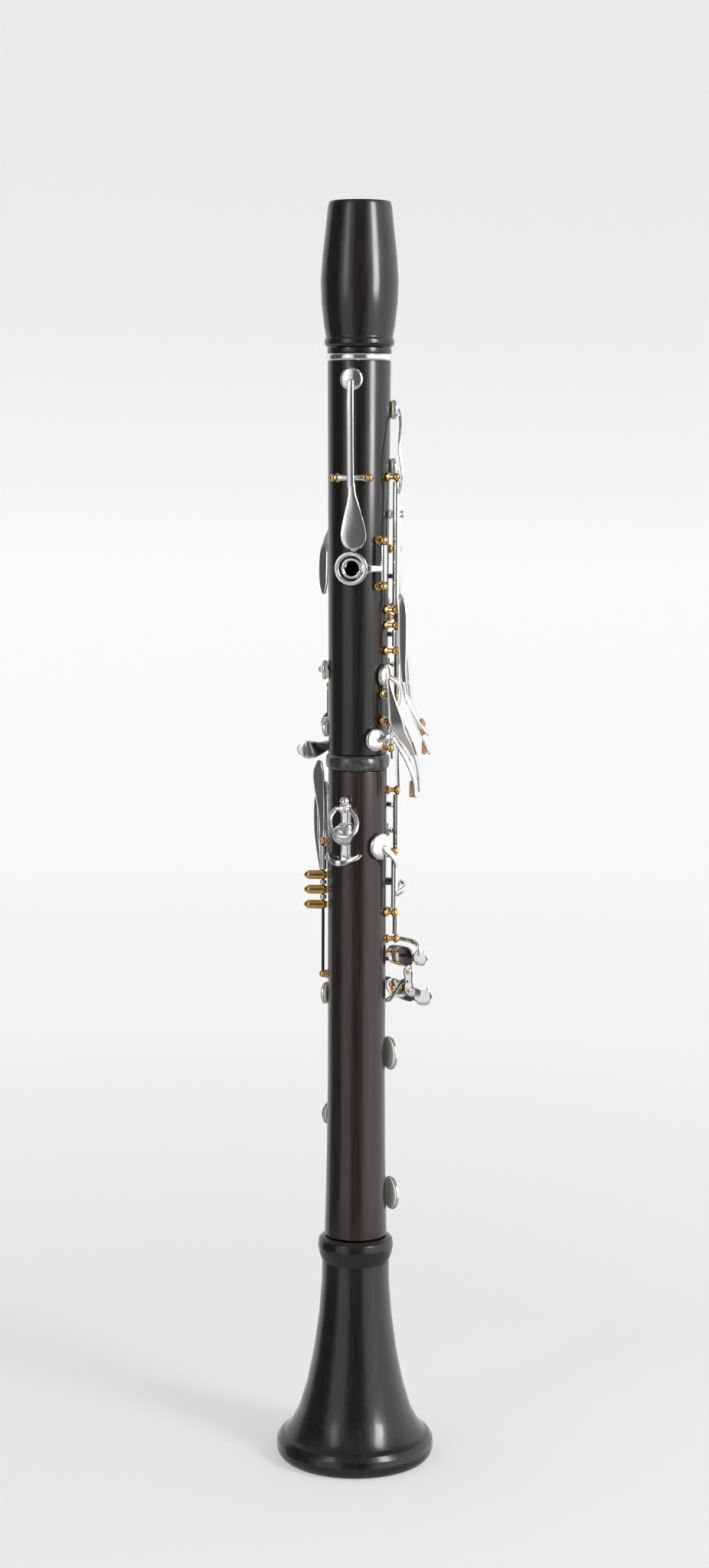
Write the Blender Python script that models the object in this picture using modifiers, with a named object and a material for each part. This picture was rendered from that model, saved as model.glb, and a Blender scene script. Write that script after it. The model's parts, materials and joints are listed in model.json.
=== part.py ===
"""A B-flat clarinet without its mouthpiece, standing on its bell.

Millimetres are used for every named size and are turned into metres when a mesh is made.
+Z runs up the bore, the thumb side faces -Y, the finger holes face +Y, the player's right is +X.
Places on the body are given as an angle round it, a distance from the bore's axis and a height:
0 degrees is the thumb side, 90 the player's right, 180 the finger holes, -90 the player's left.
"""
import math

import bmesh
import bpy
from mathutils import Matrix, Vector

MM = 0.001
GAP = 0.3                   # clearance kept between pieces that touch on the real instrument
BODY_SIDES = 18
CUP_SIDES = 10
TUBE_SIDES = 8
POST_SIDES = 6
RING_SIDES = 12

# Heights along the bore
BARREL_TOP = 589.0
BARREL_BOTTOM = 523.7
UPPER_BOTTOM = 337.6
COLLAR_TOP = 337.2
COLLAR_BOTTOM = 330.0
LOWER_BOTTOM = 108.0
RING_TOP = 520.6            # silver ring let into the upper joint
RING_BOTTOM = 517.5
TENON_TOP = 540.0
MIDDLE_TENON_END = 316.0
BELL_TENON_END = 89.0

# Radii
BORE = 7.4
TENON = 10.4
TENON_CORE = 9.4
SOCKET = 10.9
MOUTHPIECE_SOCKET = 11.3
BELL_RADIUS = 37.5

# Keywork stock
ROD = 0.7
TUBE_BORE = 1.1
TUBE = 1.65
BALL = 1.8
POST_NECK = 1.1
POST_FOOT = 2.1
FOOT_HEIGHT = 0.8

# Outside radius of the two joints at heights from the bell up
BODY_RADII = [(108.0, 14.8), (129.0, 14.2), (147.0, 13.9), (184.0, 13.5), (257.0, 13.6), (337.0, 13.6),
              (356.0, 13.7), (410.0, 13.9), (516.0, 14.5), (524.0, 14.6)]

WOOD = ("grenadilla", (0.02, 0.016, 0.014), 0.32, 0.0)
SILVER = ("silver_plate", (0.86, 0.85, 0.83), 0.12, 1.0)
GOLD = ("gold_plate", (0.83, 0.52, 0.2), 0.16, 1.0)
COLLAR = ("collar_horn", (0.07, 0.08, 0.075), 0.3, 0.0)
CORK = ("cork", (0.62, 0.42, 0.25), 0.85, 0.0)
PAD = ("pad_skin", (0.78, 0.72, 0.6), 0.6, 0.0)


# ---------------------------------------------------------------- places and vectors

def radial(angle):
    """Unit vector out of the body at an angle."""
    turn = math.radians(angle)
    return Vector((math.sin(turn), -math.cos(turn), 0.0))


def tangent(angle):
    """Unit vector round the body, towards larger angles."""
    turn = math.radians(angle)
    return Vector((math.cos(turn), math.sin(turn), 0.0))


def polar(angle, radius, height):
    return radial(angle) * radius + Vector((0.0, 0.0, height))


def beside(angle, across, out, height):
    """A point given across and out from the bore's axis, seen square on at an angle."""
    return tangent(angle) * across + radial(angle) * out + Vector((0.0, 0.0, height))


def body_radius(height):
    """Outside radius of the joints at a height."""
    for (low, low_r), (high, high_r) in zip(BODY_RADII, BODY_RADII[1:]):
        if low <= height <= high:
            return low_r + (high_r - low_r) * (height - low) / (high - low)
    return BODY_RADII[0][1] if height < BODY_RADII[0][0] else BODY_RADII[-1][1]


# ---------------------------------------------------------------- scene and materials

def clear_scene():
    for item in list(bpy.data.objects):
        bpy.data.objects.remove(item, do_unlink=True)


def make_collection(name):
    group = bpy.data.collections.new(name)
    bpy.context.scene.collection.children.link(group)
    return group


def material(spec):
    name, colour, roughness, metallic = spec
    found = bpy.data.materials.get(name)
    if found:
        return found
    made = bpy.data.materials.new(name)
    made.use_nodes = True
    shader = made.node_tree.nodes["Principled BSDF"]
    shader.inputs["Base Color"].default_value = (*colour, 1.0)
    shader.inputs["Roughness"].default_value = roughness
    shader.inputs["Metallic"].default_value = metallic
    made.diffuse_color = (*colour, 1.0)
    return made


def link_object(name, mesh, group=None):
    made = bpy.data.objects.new(name, mesh)
    (group or WORKSHOP).objects.link(made)
    return made


def from_bmesh(name, shape):
    bmesh.ops.recalc_face_normals(shape, faces=shape.faces)
    mesh = bpy.data.meshes.new(name)
    shape.to_mesh(mesh)
    shape.free()
    return link_object(name, mesh)


def evaluated_mesh(item):
    """The object's mesh with its modifiers, in world space."""
    bpy.context.view_layer.update()
    graph = bpy.context.evaluated_depsgraph_get()
    mesh = bpy.data.meshes.new_from_object(item.evaluated_get(graph))
    mesh.transform(item.matrix_world)
    return mesh


# ---------------------------------------------------------------- building blocks

def facing(origin, direction):
    """A matrix that stands local +Z along a direction at a point, both in millimetres."""
    turn = direction.normalized().to_track_quat("Z", "Y").to_matrix().to_4x4()
    return Matrix.Translation(origin * MM) @ turn


def turned(profile, origin=Vector((0, 0, 0)), direction=Vector((0, 0, 1)), sides=CUP_SIDES, ring=False):
    """A turned solid from (radius, height) points that run down its outer side.

    A ring's profile comes back up its inner side and closes.
    """
    mesh = bpy.data.meshes.new("turning")
    points = [(radius * MM, 0.0, height * MM) for radius, height in profile]
    edges = [(i, i + 1) for i in range(len(points) - 1)]
    if ring:
        edges.append((len(points) - 1, 0))
    mesh.from_pydata(points, edges, [])
    item = link_object("turning", mesh)
    screw = item.modifiers.new("Screw", "SCREW")
    screw.steps = sides
    screw.render_steps = sides
    screw.use_merge_vertices = True
    screw.merge_threshold = 0.000002
    item.matrix_world = facing(origin, direction)
    solid = link_object("turned", evaluated_mesh(item))
    bpy.data.objects.remove(item, do_unlink=True)
    return solid


def rod(start, end, radius, sides=TUBE_SIDES):
    """A round bar between two points."""
    shape = bmesh.new()
    run = end - start
    bmesh.ops.create_cone(shape, cap_ends=True, segments=sides, radius1=radius * MM, radius2=radius * MM,
                          depth=run.length * MM, matrix=facing((start + end) / 2, run))
    return from_bmesh("rod", shape)


def blade(stations, out=None):
    """A forged arm: a loft through stations of (point, half width, half thickness).

    The thickness lies along out, which is away from the bore unless it is given.
    """
    outline = [(1, 0), (0.7, 1), (-0.7, 1), (-1, 0), (-0.7, -1), (0.7, -1)]
    shape = bmesh.new()
    rings = []
    for i, (point, half_width, half_thick) in enumerate(stations):
        before = stations[max(i - 1, 0)][0]
        after = stations[min(i + 1, len(stations) - 1)][0]
        along = (after - before).normalized()
        away = Vector(out) if out else Vector((point.x, point.y, 0.0))
        away = (away - along * away.dot(along)).normalized()
        side = along.cross(away)
        rings.append([shape.verts.new((point + side * half_width * u + away * half_thick * v) * MM)
                      for u, v in outline])
    count = len(outline)
    for low, high in zip(rings, rings[1:]):
        for k in range(count):
            shape.faces.new((low[k], low[(k + 1) % count], high[(k + 1) % count], high[k]))
    shape.faces.new(rings[0])
    shape.faces.new(rings[-1])
    return from_bmesh("blade", shape)


def combine(pieces, cutters=()):
    """One closed mesh from solids joined together, less the cutters."""
    base = pieces[0]
    for tool, operation in [(p, "UNION") for p in pieces[1:]] + [(c, "DIFFERENCE") for c in cutters]:
        step = base.modifiers.new(operation, "BOOLEAN")
        step.operation = operation
        step.solver = "EXACT"
        step.object = tool
    mesh = evaluated_mesh(base)
    for used in list(pieces) + list(cutters):
        bpy.data.objects.remove(used, do_unlink=True)
    shape = bmesh.new()
    shape.from_mesh(mesh)
    bmesh.ops.remove_doubles(shape, verts=shape.verts, dist=0.000001)
    shape.to_mesh(mesh)
    shape.free()
    return mesh


def part(name, spec, pieces, cutters=(), pivot=None):
    """A finished sub-part; a moving one keeps its origin on its joint's axis."""
    mesh = combine(pieces, cutters)
    mesh.name = name
    mesh.materials.clear()
    mesh.materials.append(material(spec))
    item = link_object(name, mesh, PARTS)
    if pivot is not None:
        mesh.transform(Matrix.Translation(-pivot * MM))
        item.location = pivot * MM
    for face in mesh.polygons:
        face.use_smooth = True
    mesh.set_sharp_from_angle(angle=math.radians(35))
    return item


# ---------------------------------------------------------------- keywork pieces

def post(angle, height, axle_radius):
    """A ball-headed post that stands on the body, its ball's centre on the axle."""
    base = body_radius(height) + GAP
    return turned([(0, axle_radius + BALL), (BALL * 0.75, axle_radius + BALL * 0.66), (BALL, axle_radius),
                   (POST_NECK, axle_radius - BALL * 0.8), (POST_NECK, base + FOOT_HEIGHT),
                   (POST_FOOT, base + FOOT_HEIGHT * 0.6), (POST_FOOT, base), (0, base)],
                  Vector((0, 0, height)), radial(angle), POST_SIDES)


def axle(name, angle, axle_radius, heights):
    """An upright hinge rod held by posts."""
    low = polar(angle, axle_radius, min(heights))
    high = polar(angle, axle_radius, max(heights))
    posts = [post(angle, height, axle_radius) for height in heights]
    return part(name, GOLD, [rod(low, high, ROD, POST_SIDES)] + posts)


def cross_axle(name, angle, spread, post_radius, height):
    """A hinge rod across the body between two posts."""
    posts = [post(angle + turn, height, post_radius) for turn in (-spread, spread)]
    ends = [polar(angle + turn, post_radius, height) for turn in (-spread, spread)]
    return part(name, GOLD, [rod(ends[0], ends[1], ROD, POST_SIDES)] + posts)


def hinge_tube(angle, axle_radius, low, high):
    """A key's hinge tube between two posts, and the cutter for its bore."""
    inset = BALL + GAP
    start = polar(angle, axle_radius, low + inset)
    end = polar(angle, axle_radius, high - inset)
    lift = Vector((0, 0, 1.0))
    return rod(start, end, TUBE), rod(start - lift, end + lift, TUBE_BORE)


def cup(angle, height, radius, hollow=False, lift=0.0, tilt_about=None, tilt=0.0):
    """A pad cup over its tone hole; a hollow one leaves room for its own pad."""
    seat = body_radius(height) + GAP + lift
    rim = seat + (1.0 if hollow else 0.0)
    roof = seat + 1.6 + GAP
    top = seat + 3.2
    outer = [(0, top), (radius * 0.55, top - 0.15), (radius * 0.94, top - 0.8), (radius, top - 1.2),
             (radius, rim)]
    if hollow:
        outer += [(radius - GAP, rim), (radius - GAP, roof), (0, roof)]
    else:
        outer += [(radius - 0.3, rim), (0, rim)]
    made = turned(outer, Vector((0, 0, height)), radial(angle))
    tilted(made, tilt_about, tilt)
    return made


def pad(name, angle, height, radius, pivot, lift=0.0, tilt_about=None, tilt=0.0):
    """The pad of a hollow cup."""
    seat = body_radius(height) + GAP + lift
    edge = radius - 2 * GAP
    made = turned([(0, seat + 1.4), (edge, seat + 1.4), (edge, seat + 0.15), (edge - 0.3, seat), (0, seat)],
                  Vector((0, 0, height)), radial(angle))
    tilted(made, tilt_about, tilt)
    return part(name, PAD, [made], pivot=pivot)


def tilted(item, about, degrees):
    """Turns a piece about an upright axis, to stand it open with its key."""
    if about is None:
        return
    centre = Matrix.Translation(about * MM)
    item.data.transform(centre @ Matrix.Rotation(math.radians(degrees), 4, "Z") @ centre.inverted())


def finger_ring(angle, height, low, high, inner, outer):
    """A ring that a finger closes onto its tone hole."""
    edge = 0.3
    profile = [(outer - edge, high), (outer, high - edge), (outer, low + edge), (outer - edge, low),
               (inner, low), (inner, high - edge), (inner + edge, high)]
    return turned(profile, Vector((0, 0, height)), radial(angle), RING_SIDES, ring=True)


def arc_arm(start, end, height, radii, half_width=1.3, half_thick=0.75, rise=0.0, steps=4):
    """An arm that runs round the body from one angle to another, through radii spread evenly along it."""
    stations = []
    for i in range(steps + 1):
        share = i / steps
        place = share * (len(radii) - 1)
        k = min(int(place), len(radii) - 2)
        radius = radii[k] + (radii[k + 1] - radii[k]) * (place - k)
        stations.append((polar(start + (end - start) * share, radius, height + rise * share), half_width,
                         half_thick))
    return blade(stations)


def polar_blade(*stations, out=None):
    """A forged arm through stations of (angle, radius, height, half width, half thickness)."""
    return blade([(polar(a, r, z), w, t) for a, r, z, w, t in stations], out)


# ---------------------------------------------------------------- wooden body

def hole(angle, height, radius):
    """The cutter of a tone hole from the bore outwards."""
    return rod(polar(angle, BORE - 2.0, height), polar(angle, 24.0, height), radius, 12)


def chimney(angle, height):
    """The raised seat round a ringed finger hole."""
    return rod(polar(angle, BORE + 4.3, height), polar(angle, body_radius(height) + 1.3, height), 4.2, 12)


def body_turning(profile):
    return turned(profile, sides=BODY_SIDES, ring=True)


def build_barrel():
    outside = [(14.0, BARREL_TOP), (14.6, 587.0), (15.7, 576.3), (17.0, 565.0), (17.8, 553.5), (17.4, 543.5),
               (16.2, 533.0), (15.3, 528.2), (16.0, 526.8), (16.0, 525.0), (14.9, BARREL_BOTTOM)]
    inside = [(SOCKET, BARREL_BOTTOM), (SOCKET, TENON_TOP + GAP), (BORE, TENON_TOP + GAP), (BORE, 572.0),
              (MOUTHPIECE_SOCKET, 572.0), (MOUTHPIECE_SOCKET, BARREL_TOP)]
    part("barrel", WOOD, [body_turning(outside + inside)])


def tenon(end, shoulder):
    """The outside of a tenon with its cork groove, listed from the end to the shoulder."""
    way = 1 if shoulder > end else -1
    return [(TENON, end), (TENON, end + way * 2.0), (TENON_CORE, end + way * 2.0),
            (TENON_CORE, shoulder - way * 2.5), (TENON, shoulder - way * 2.5), (TENON, shoulder)]


def cork(name, end, shoulder):
    way = 1 if shoulder > end else -1
    low, high = sorted((end + way * (2.0 + GAP), shoulder - way * (2.5 + GAP)))
    inner = TENON_CORE + GAP
    outer = SOCKET - GAP
    part(name, CORK, [body_turning([(outer, high), (outer, low), (inner, low), (inner, high)])])


def build_upper_joint():
    top = BARREL_BOTTOM - GAP
    groove = 14.3
    profile = tenon(TENON_TOP, top)
    profile += [(14.7, top), (14.7, RING_TOP + GAP), (groove, RING_TOP + GAP), (groove, RING_BOTTOM - GAP),
                (14.5, RING_BOTTOM - GAP), (13.9, 410.0), (13.6, UPPER_BOTTOM)]
    profile += list(reversed(tenon(MIDDLE_TENON_END, UPPER_BOTTOM)))
    profile += [(BORE, MIDDLE_TENON_END), (BORE, TENON_TOP)]
    ringed = [(180, L1_HEIGHT), (180, L2_HEIGHT)]
    holes = [hole(a, z, 3.2) for a, z in ringed] + [hole(180, L3_HEIGHT, 3.6),
                                                    hole(THUMB_ANGLE, THUMB_HEIGHT, 5.4)]
    part("upper_joint", WOOD, [body_turning(profile)] + [chimney(a, z) for a, z in ringed], holes)
    part("upper_joint_ring", SILVER, [body_turning([(14.9, RING_TOP), (15.3, 519.8), (15.3, 518.3),
         (14.9, RING_BOTTOM), (groove + GAP, RING_BOTTOM), (groove + GAP, RING_TOP)])])
    part("thumb_hole_tube", SILVER, [turned([(4.6, 16.6), (4.95, 16.2), (4.95, 8.4), (3.45, 8.4),
                                             (3.45, 16.2),
         (3.8, 16.6)], Vector((0, 0, THUMB_HEIGHT)), radial(THUMB_ANGLE), 14, ring=True)])
    cork("upper_tenon_cork", TENON_TOP, top)
    cork("middle_tenon_cork", MIDDLE_TENON_END, UPPER_BOTTOM)


def build_lower_joint():
    spigot = 12.4
    profile = [(spigot, COLLAR_TOP), (spigot, COLLAR_BOTTOM), (13.6, COLLAR_BOTTOM), (13.6, 257.0),
               (13.5, 184.0),
               (13.9, 147.0), (14.2, 129.0), (14.8, LOWER_BOTTOM + GAP)]
    profile += list(reversed(tenon(BELL_TENON_END, LOWER_BOTTOM + GAP)))
    profile += [(BORE + 1.0, BELL_TENON_END), (BORE, 200.0), (BORE, MIDDLE_TENON_END - GAP),
                (SOCKET, MIDDLE_TENON_END - GAP), (SOCKET, COLLAR_TOP)]
    ringed = [(180, height) for height in R_HEIGHTS]
    holes = [hole(a, z, 3.6) for a, z in ringed]
    holes += [hole(BIG_PAD_ANGLE, F_C_PAD, 5.6), hole(BIG_PAD_ANGLE, E_B_PAD, 6.0)]
    part("lower_joint", WOOD, [body_turning(profile)] + [chimney(a, z) for a, z in ringed], holes)
    inner = spigot + GAP
    part("collar_ring", COLLAR, [body_turning([(13.7, COLLAR_TOP), (14.6, 335.9), (14.9, 333.6),
                                               (14.6, 331.5),
         (13.8, COLLAR_BOTTOM + GAP), (inner, COLLAR_BOTTOM + GAP), (inner, COLLAR_TOP)])])
    cork("bell_tenon_cork", BELL_TENON_END, LOWER_BOTTOM + GAP)


def build_bell():
    outside = [(15.6, 107.6), (17.4, 106.0), (17.9, 102.9), (17.2, 99.0), (15.9, 95.5), (16.0, 86.0),
               (17.2, 70.0),
               (19.5, 52.5), (22.8, 36.0), (26.6, 23.0), (30.0, 16.2), (33.4, 11.8), (35.6, 10.6),
               (37.2, 8.2), (BELL_RADIUS, 5.5), (37.1, 2.6), (35.6, 0.4), (34.4, 0.0)]
    inside = [(30.0, 0.0), (29.6, 1.0), (24.5, 14.0), (19.5, 30.0), (15.5, 46.0), (12.2, 64.0), (10.2, 78.0),
              (9.4, BELL_TENON_END - GAP), (SOCKET, BELL_TENON_END - GAP), (SOCKET, 107.6)]
    part("bell", WOOD, [body_turning(outside + inside)])


# ---------------------------------------------------------------- keywork layout

THUMB_ANGLE = 4
THUMB_HEIGHT = 423.6
L1_HEIGHT = 419.0
L2_HEIGHT = 392.0
L3_HEIGHT = 366.0
R_HEIGHTS = (312.0, 288.0, 262.0)
BIG_PAD_ANGLE = 121
F_C_PAD = 194.3
E_B_PAD = 126.3
RING_LIFT = 1.3             # how far the vents of the ring keys stand off at rest
OPEN_TILT = 7.0             # how far an open-standing cup swings from its tone hole

REGISTER_LINE = (3, 16.4, 464.6)        # angle, distance out, height
THROAT_A_LINE = (178, 17.2, 452.0)
THUMB_LINE = (53, 18.5)                 # upright hinge lines: angle, distance out
RING_LINE = (115, 18.6)
LOWER_RING_LINE = (112, 18.4)
SIDE_LINE = (80, 19.0)
LOW_SIDE_LINE = (68, 19.0)
THROAT_GS_LINE = (235, 17.9)
CS_GS_LINE = (220, 18.0)
SLIVER_LINE = (242, 17.8)
LEFT_LEVER_LINE = (282, 15.9)
B_SLIVER_LINE = (89, 18.2)
F_C_LINE = (155, 17.8)
E_B_LINE = (175, 17.8)
FS_CS_LINE = (195, 17.8)
GS_DS_LINE = (225, 17.8)


def line_pivot(line, height):
    return polar(line[0], line[1], height)


def build_register_key():
    angle, out, height = REGISTER_LINE
    cross_axle("register_axle", angle, 27, 18.4, height)
    reach = 6.2
    ends = [beside(angle, side * reach, out, height) for side in (-1, 1)]
    bore_ends = [beside(angle, side * (reach + 1), out, height) for side in (-1, 1)]
    pivot = beside(angle, 0, out, height)
    arm = polar_blade((3, 17.7, 461, 1.7, 0.9), (3, 18.2, 466, 1.6, 0.8), (2.7, 18.6, 482, 1.6, 0.8),
                      (2.5, 18.9, 500, 1.6, 0.8), (2.5, 18.1, 508, 1.4, 0.8))
    touch = polar_blade((3.5, 17.5, 463, 1.6, 0.9), (5, 18.0, 457, 1.9, 0.8), (6.5, 18.8, 449, 3.9, 0.7),
                        (8, 19.4, 439, 5.8, 0.7), (8.3, 19.3, 434, 4.4, 0.6), (8.4, 19.2, 432.5, 1.6, 0.5))
    part("register_key", SILVER, [rod(ends[0], ends[1], 1.5), arm, touch, cup(2.5, 508.9, 5.25, True)],
         [rod(bore_ends[0], bore_ends[1], TUBE_BORE)], pivot)
    pad("register_pad", 2.5, 508.9, 5.25, pivot)


def build_thumb_ring():
    axle("thumb_axle", *THUMB_LINE, (415.4, 436.4))
    tube, bore = hinge_tube(*THUMB_LINE, 415.4, 436.4)
    ring = finger_ring(THUMB_ANGLE, THUMB_HEIGHT, 17.0, 18.4, 5.7, 7.7)
    arm = blade([(beside(THUMB_ANGLE, a, d, THUMB_HEIGHT), w, 0.75) for a, d, w in
                 ((6.5, 17.6, 2.6), (9.0, 17.1, 1.7), (11.8, 15.2, 1.5), (13.5, 13.1, 1.6))])
    part("thumb_ring_key", SILVER, [tube, ring, arm], [bore], line_pivot(THUMB_LINE, THUMB_HEIGHT))


def build_upper_rings():
    axle("upper_ring_axle", *RING_LINE, (352.0, 400.5, 432.0))
    for name, height, low, high, cup_place in (
            ("first_ring_key", L1_HEIGHT, 400.5, 432.0, (148, 405.8)),
            ("second_ring_key", L2_HEIGHT, 352.0, 400.5, (146, 378.0))):
        tube, bore = hinge_tube(*RING_LINE, low, high)
        ring = finger_ring(180, height, 16.6, 17.9, 5.2, 7.2)
        pieces = [tube, ring, arc_arm(115, 158, height, (18.9, 18.9, 18.4)),
                  cup(*cup_place, 3.9, lift=RING_LIFT),
                  arc_arm(115, 144, cup_place[1], (18.9, 19.2, 17.4 + RING_LIFT))]
        if name == "second_ring_key":
            pieces.append(polar_blade((117, 19.2, 361, 1.5, 0.8), (127, 18.6, 354, 1.6, 0.7),
                                      (128, 17.4, 345, 1.7, 0.5), (127, 17.0, 335, 1.7, 0.5)))
        part(name, SILVER, pieces, [bore], line_pivot(RING_LINE, height))


def build_throat_keys():
    angle, out, height = THROAT_A_LINE
    cross_axle("throat_a_axle", angle, 20, 18.3, height)
    reach = 4.1
    pivot = beside(angle, 0, out, height)
    tube = rod(beside(angle, -reach, out, height), beside(angle, reach, out, height), 1.5)
    bore = rod(beside(angle, -reach - 1, out, height), beside(angle, reach + 1, out, height), TUBE_BORE)
    arm = polar_blade((178, 17.8, 450, 1.6, 0.8), (178, 18.8, 458, 1.4, 0.8), (178, 18.9, 470, 1.4, 0.8),
                      (178, 17.9, 475, 1.3, 0.7))
    touch = polar_blade((178, 17.9, 453, 1.6, 0.8), (178, 18.9, 446, 2.4, 0.7), (178, 19.2, 438, 3.6, 0.7),
                        (178, 18.8, 432, 3.0, 0.6), (178, 18.6, 430, 1.4, 0.5))
    part("throat_a_key", SILVER, [tube, arm, touch, cup(178, 476, 4.7)], [bore], pivot)

    axle("throat_gs_axle", *THROAT_GS_LINE, (437.0, 470.0))
    tube, bore = hinge_tube(*THROAT_GS_LINE, 437.0, 470.0)
    touch = blade([(Vector(p), w, 0.6) for p, w in (
        ((-16.1, 10.9, 441), 1.4), ((-17.6, 8.0, 436), 1.8), ((-17.9, 5.0, 431), 2.4),
        ((-17.6, 3.0, 424), 2.7),
        ((-17.3, 2.2, 416), 2.4), ((-17.0, 1.8, 411.5), 1.2))], out=(-0.45, -0.9, 0))
    part("throat_gs_key", SILVER, [tube, touch, arc_arm(235, 216, 462, (18.3, 18.3, 17.6)),
                                   cup(213, 462, 4.5)],
         [bore], line_pivot(THROAT_GS_LINE, 455))


SIDE_FACE = (0.2, -0.98, 0.0)


def side_web():
    """The broad flat web that stiffens the second side key beside its cup."""
    stations = ((17.2, -10.2, 371.5, 0.9), (18.0, -10.7, 368.0, 1.2), (19.4, -10.8, 361.0, 2.2),
                (21.0, -10.5, 353.5, 3.2), (23.4, -8.4, 347.0, 2.2), (25.6, -5.0, 342.0, 1.4),
                (26.9, -2.4, 338.0, 1.2))
    return blade([(Vector((x, y, z)), w, 0.6) for x, y, z, w in stations], out=SIDE_FACE)


def build_side_keys():
    axle("side_axle", *SIDE_LINE, (385.5, 397.3, 404.4, 465.0))
    axle("low_side_axle", *LOW_SIDE_LINE, (341.0, 353.4, 365.6))
    keys = {
        "side_key_1": (LOW_SIDE_LINE, 341.0, 353.4, (47, 344.8, 5.25), [
            polar_blade((66, 19.8, 347, 1.5, 0.8), (58, 19.4, 346, 1.4, 0.8), (49, 17.4, 345, 1.3, 0.7)),
            polar_blade((69, 20.2, 346, 1.6, 0.8), (75, 22.8, 341, 1.8, 0.8), (80, 26.0, 334, 2.0, 0.8),
                        (83, 28.4, 326, 2.2, 0.8), (84, 28.8, 319, 1.8, 0.7))]),
        "side_key_2": (LOW_SIDE_LINE, 353.4, 365.6, (73, 373.9, 5.5), [
            polar_blade((70, 20.0, 358, 1.4, 0.8), (79, 20.9, 363, 1.4, 0.8), (81, 20.2, 370, 1.3, 0.8),
                        (75, 17.5, 373.5, 1.3, 0.7)),
            polar_blade((71, 20.2, 359, 2.0, 0.8), (79, 23.0, 350, 2.8, 0.9), (87, 26.6, 341, 2.3, 0.8),
                        (94, 28.6, 331, 2.2, 0.8), (97, 29.0, 321, 1.8, 0.7)), side_web()]),
        "trill_key_1": (SIDE_LINE, 385.5, 397.3, (112, 469.1, 4.65), [
            polar_blade((82, 20.0, 391, 1.5, 0.8), (92, 20.6, 396, 1.4, 0.8), (97, 19.4, 406, 1.4, 0.8),
                        (99, 18.7, 432, 1.4, 0.8), (104, 18.9, 458, 1.4, 0.8), (111, 17.9, 467, 1.3, 0.7)),
            polar_blade((83, 20.2, 391, 1.5, 0.8), (92, 23.0, 383, 1.7, 0.8), (94, 24.2, 370, 1.8, 0.8),
                        (95, 26.4, 356, 2.0, 0.8), (96, 31.0, 345, 2.4, 0.8), (96, 33.4, 338.5, 1.9, 0.7))]),
        "trill_key_2": (SIDE_LINE, 404.4, 465.0, (112, 495.6, 4.6), [
            polar_blade((80, 20.2, 458, 1.4, 0.8), (80, 22.0, 463, 1.4, 0.7), (80, 22.0, 468, 1.4, 0.7),
                        (82, 20.4, 478, 1.4, 0.8), (96, 19.4, 489, 1.4, 0.8), (110, 18.2, 495, 1.3, 0.7)),
            polar_blade((80, 20.2, 411, 1.6, 0.7), (77, 22.7, 405, 2.1, 0.7), (77, 23.0, 388, 2.1, 0.7),
                        (78, 23.2, 376, 1.5, 0.7), (80, 24.3, 366, 1.3, 0.7), out=SIDE_FACE),
            polar_blade((79, 23.6, 371, 1.4, 0.8), (81, 24.8, 364, 1.9, 0.8), (85, 29.6, 354, 2.3, 0.8),
                        (87, 33.9, 348, 1.9, 0.7))]),
    }
    for name, (line, low, high, (angle, height, radius), arms) in keys.items():
        tube, bore = hinge_tube(*line, low, high)
        pivot = line_pivot(line, height)
        part(name, SILVER, [tube, cup(angle, height, radius, True)] + arms, [bore], pivot)
        pad(name + "_pad", angle, height, radius, pivot)
    guide = [(0, 21.6), (1.4, 21.4), (1.7, 20.9), (1.7, 15.4), (2.3, 15.2), (2.3, 14.7), (0, 14.7)]
    part("trill_guide_post", SILVER, [turned(guide, Vector((0, 0, 448.0)), radial(92), POST_SIDES)])


def build_left_upper_keys():
    axle("cs_gs_axle", *CS_GS_LINE, (341.0, 386.5))
    tube, bore = hinge_tube(*CS_GS_LINE, 341.0, 386.5)
    touch = blade([(Vector(p), w, 0.7) for p, w in (
        ((-12.9, 15.0, 345.5), 1.6), ((-15.5, 13.6, 341), 1.8), ((-19.5, 8.5, 338.6), 2.8),
        ((-23.5, 5.0, 337.7), 4.1),
        ((-26.8, 4.2, 337.7), 4.0), ((-28.8, 4.0, 337.7), 2.4))], out=(-0.3, -1, 0))
    part("cs_gs_key", SILVER, [tube, touch, arc_arm(220, 282, 376.2, (18.4, 19.6, 19.6, 17.5), steps=5),
                               cup(285, 376.2, 4.65)], [bore], line_pivot(CS_GS_LINE, 360))
    axle("sliver_axle", *SLIVER_LINE, (351.0, 368.0))
    tube, bore = hinge_tube(*SLIVER_LINE, 351.0, 368.0)
    touch = polar_blade((240, 18.8, 362, 1.4, 0.7), (232, 21.4, 368, 1.5, 0.7), (220, 22.2, 374, 1.6, 0.7),
                        (206, 20.6, 379, 2.0, 0.7), (199, 18.6, 380, 1.4, 0.7))
    part("sliver_key", SILVER, [tube, touch, arc_arm(242, 263, 355, (18.4, 18.6, 17.8), rise=-5),
                                cup(266, 348.5, 4.0)], [bore], line_pivot(SLIVER_LINE, 355))


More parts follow.
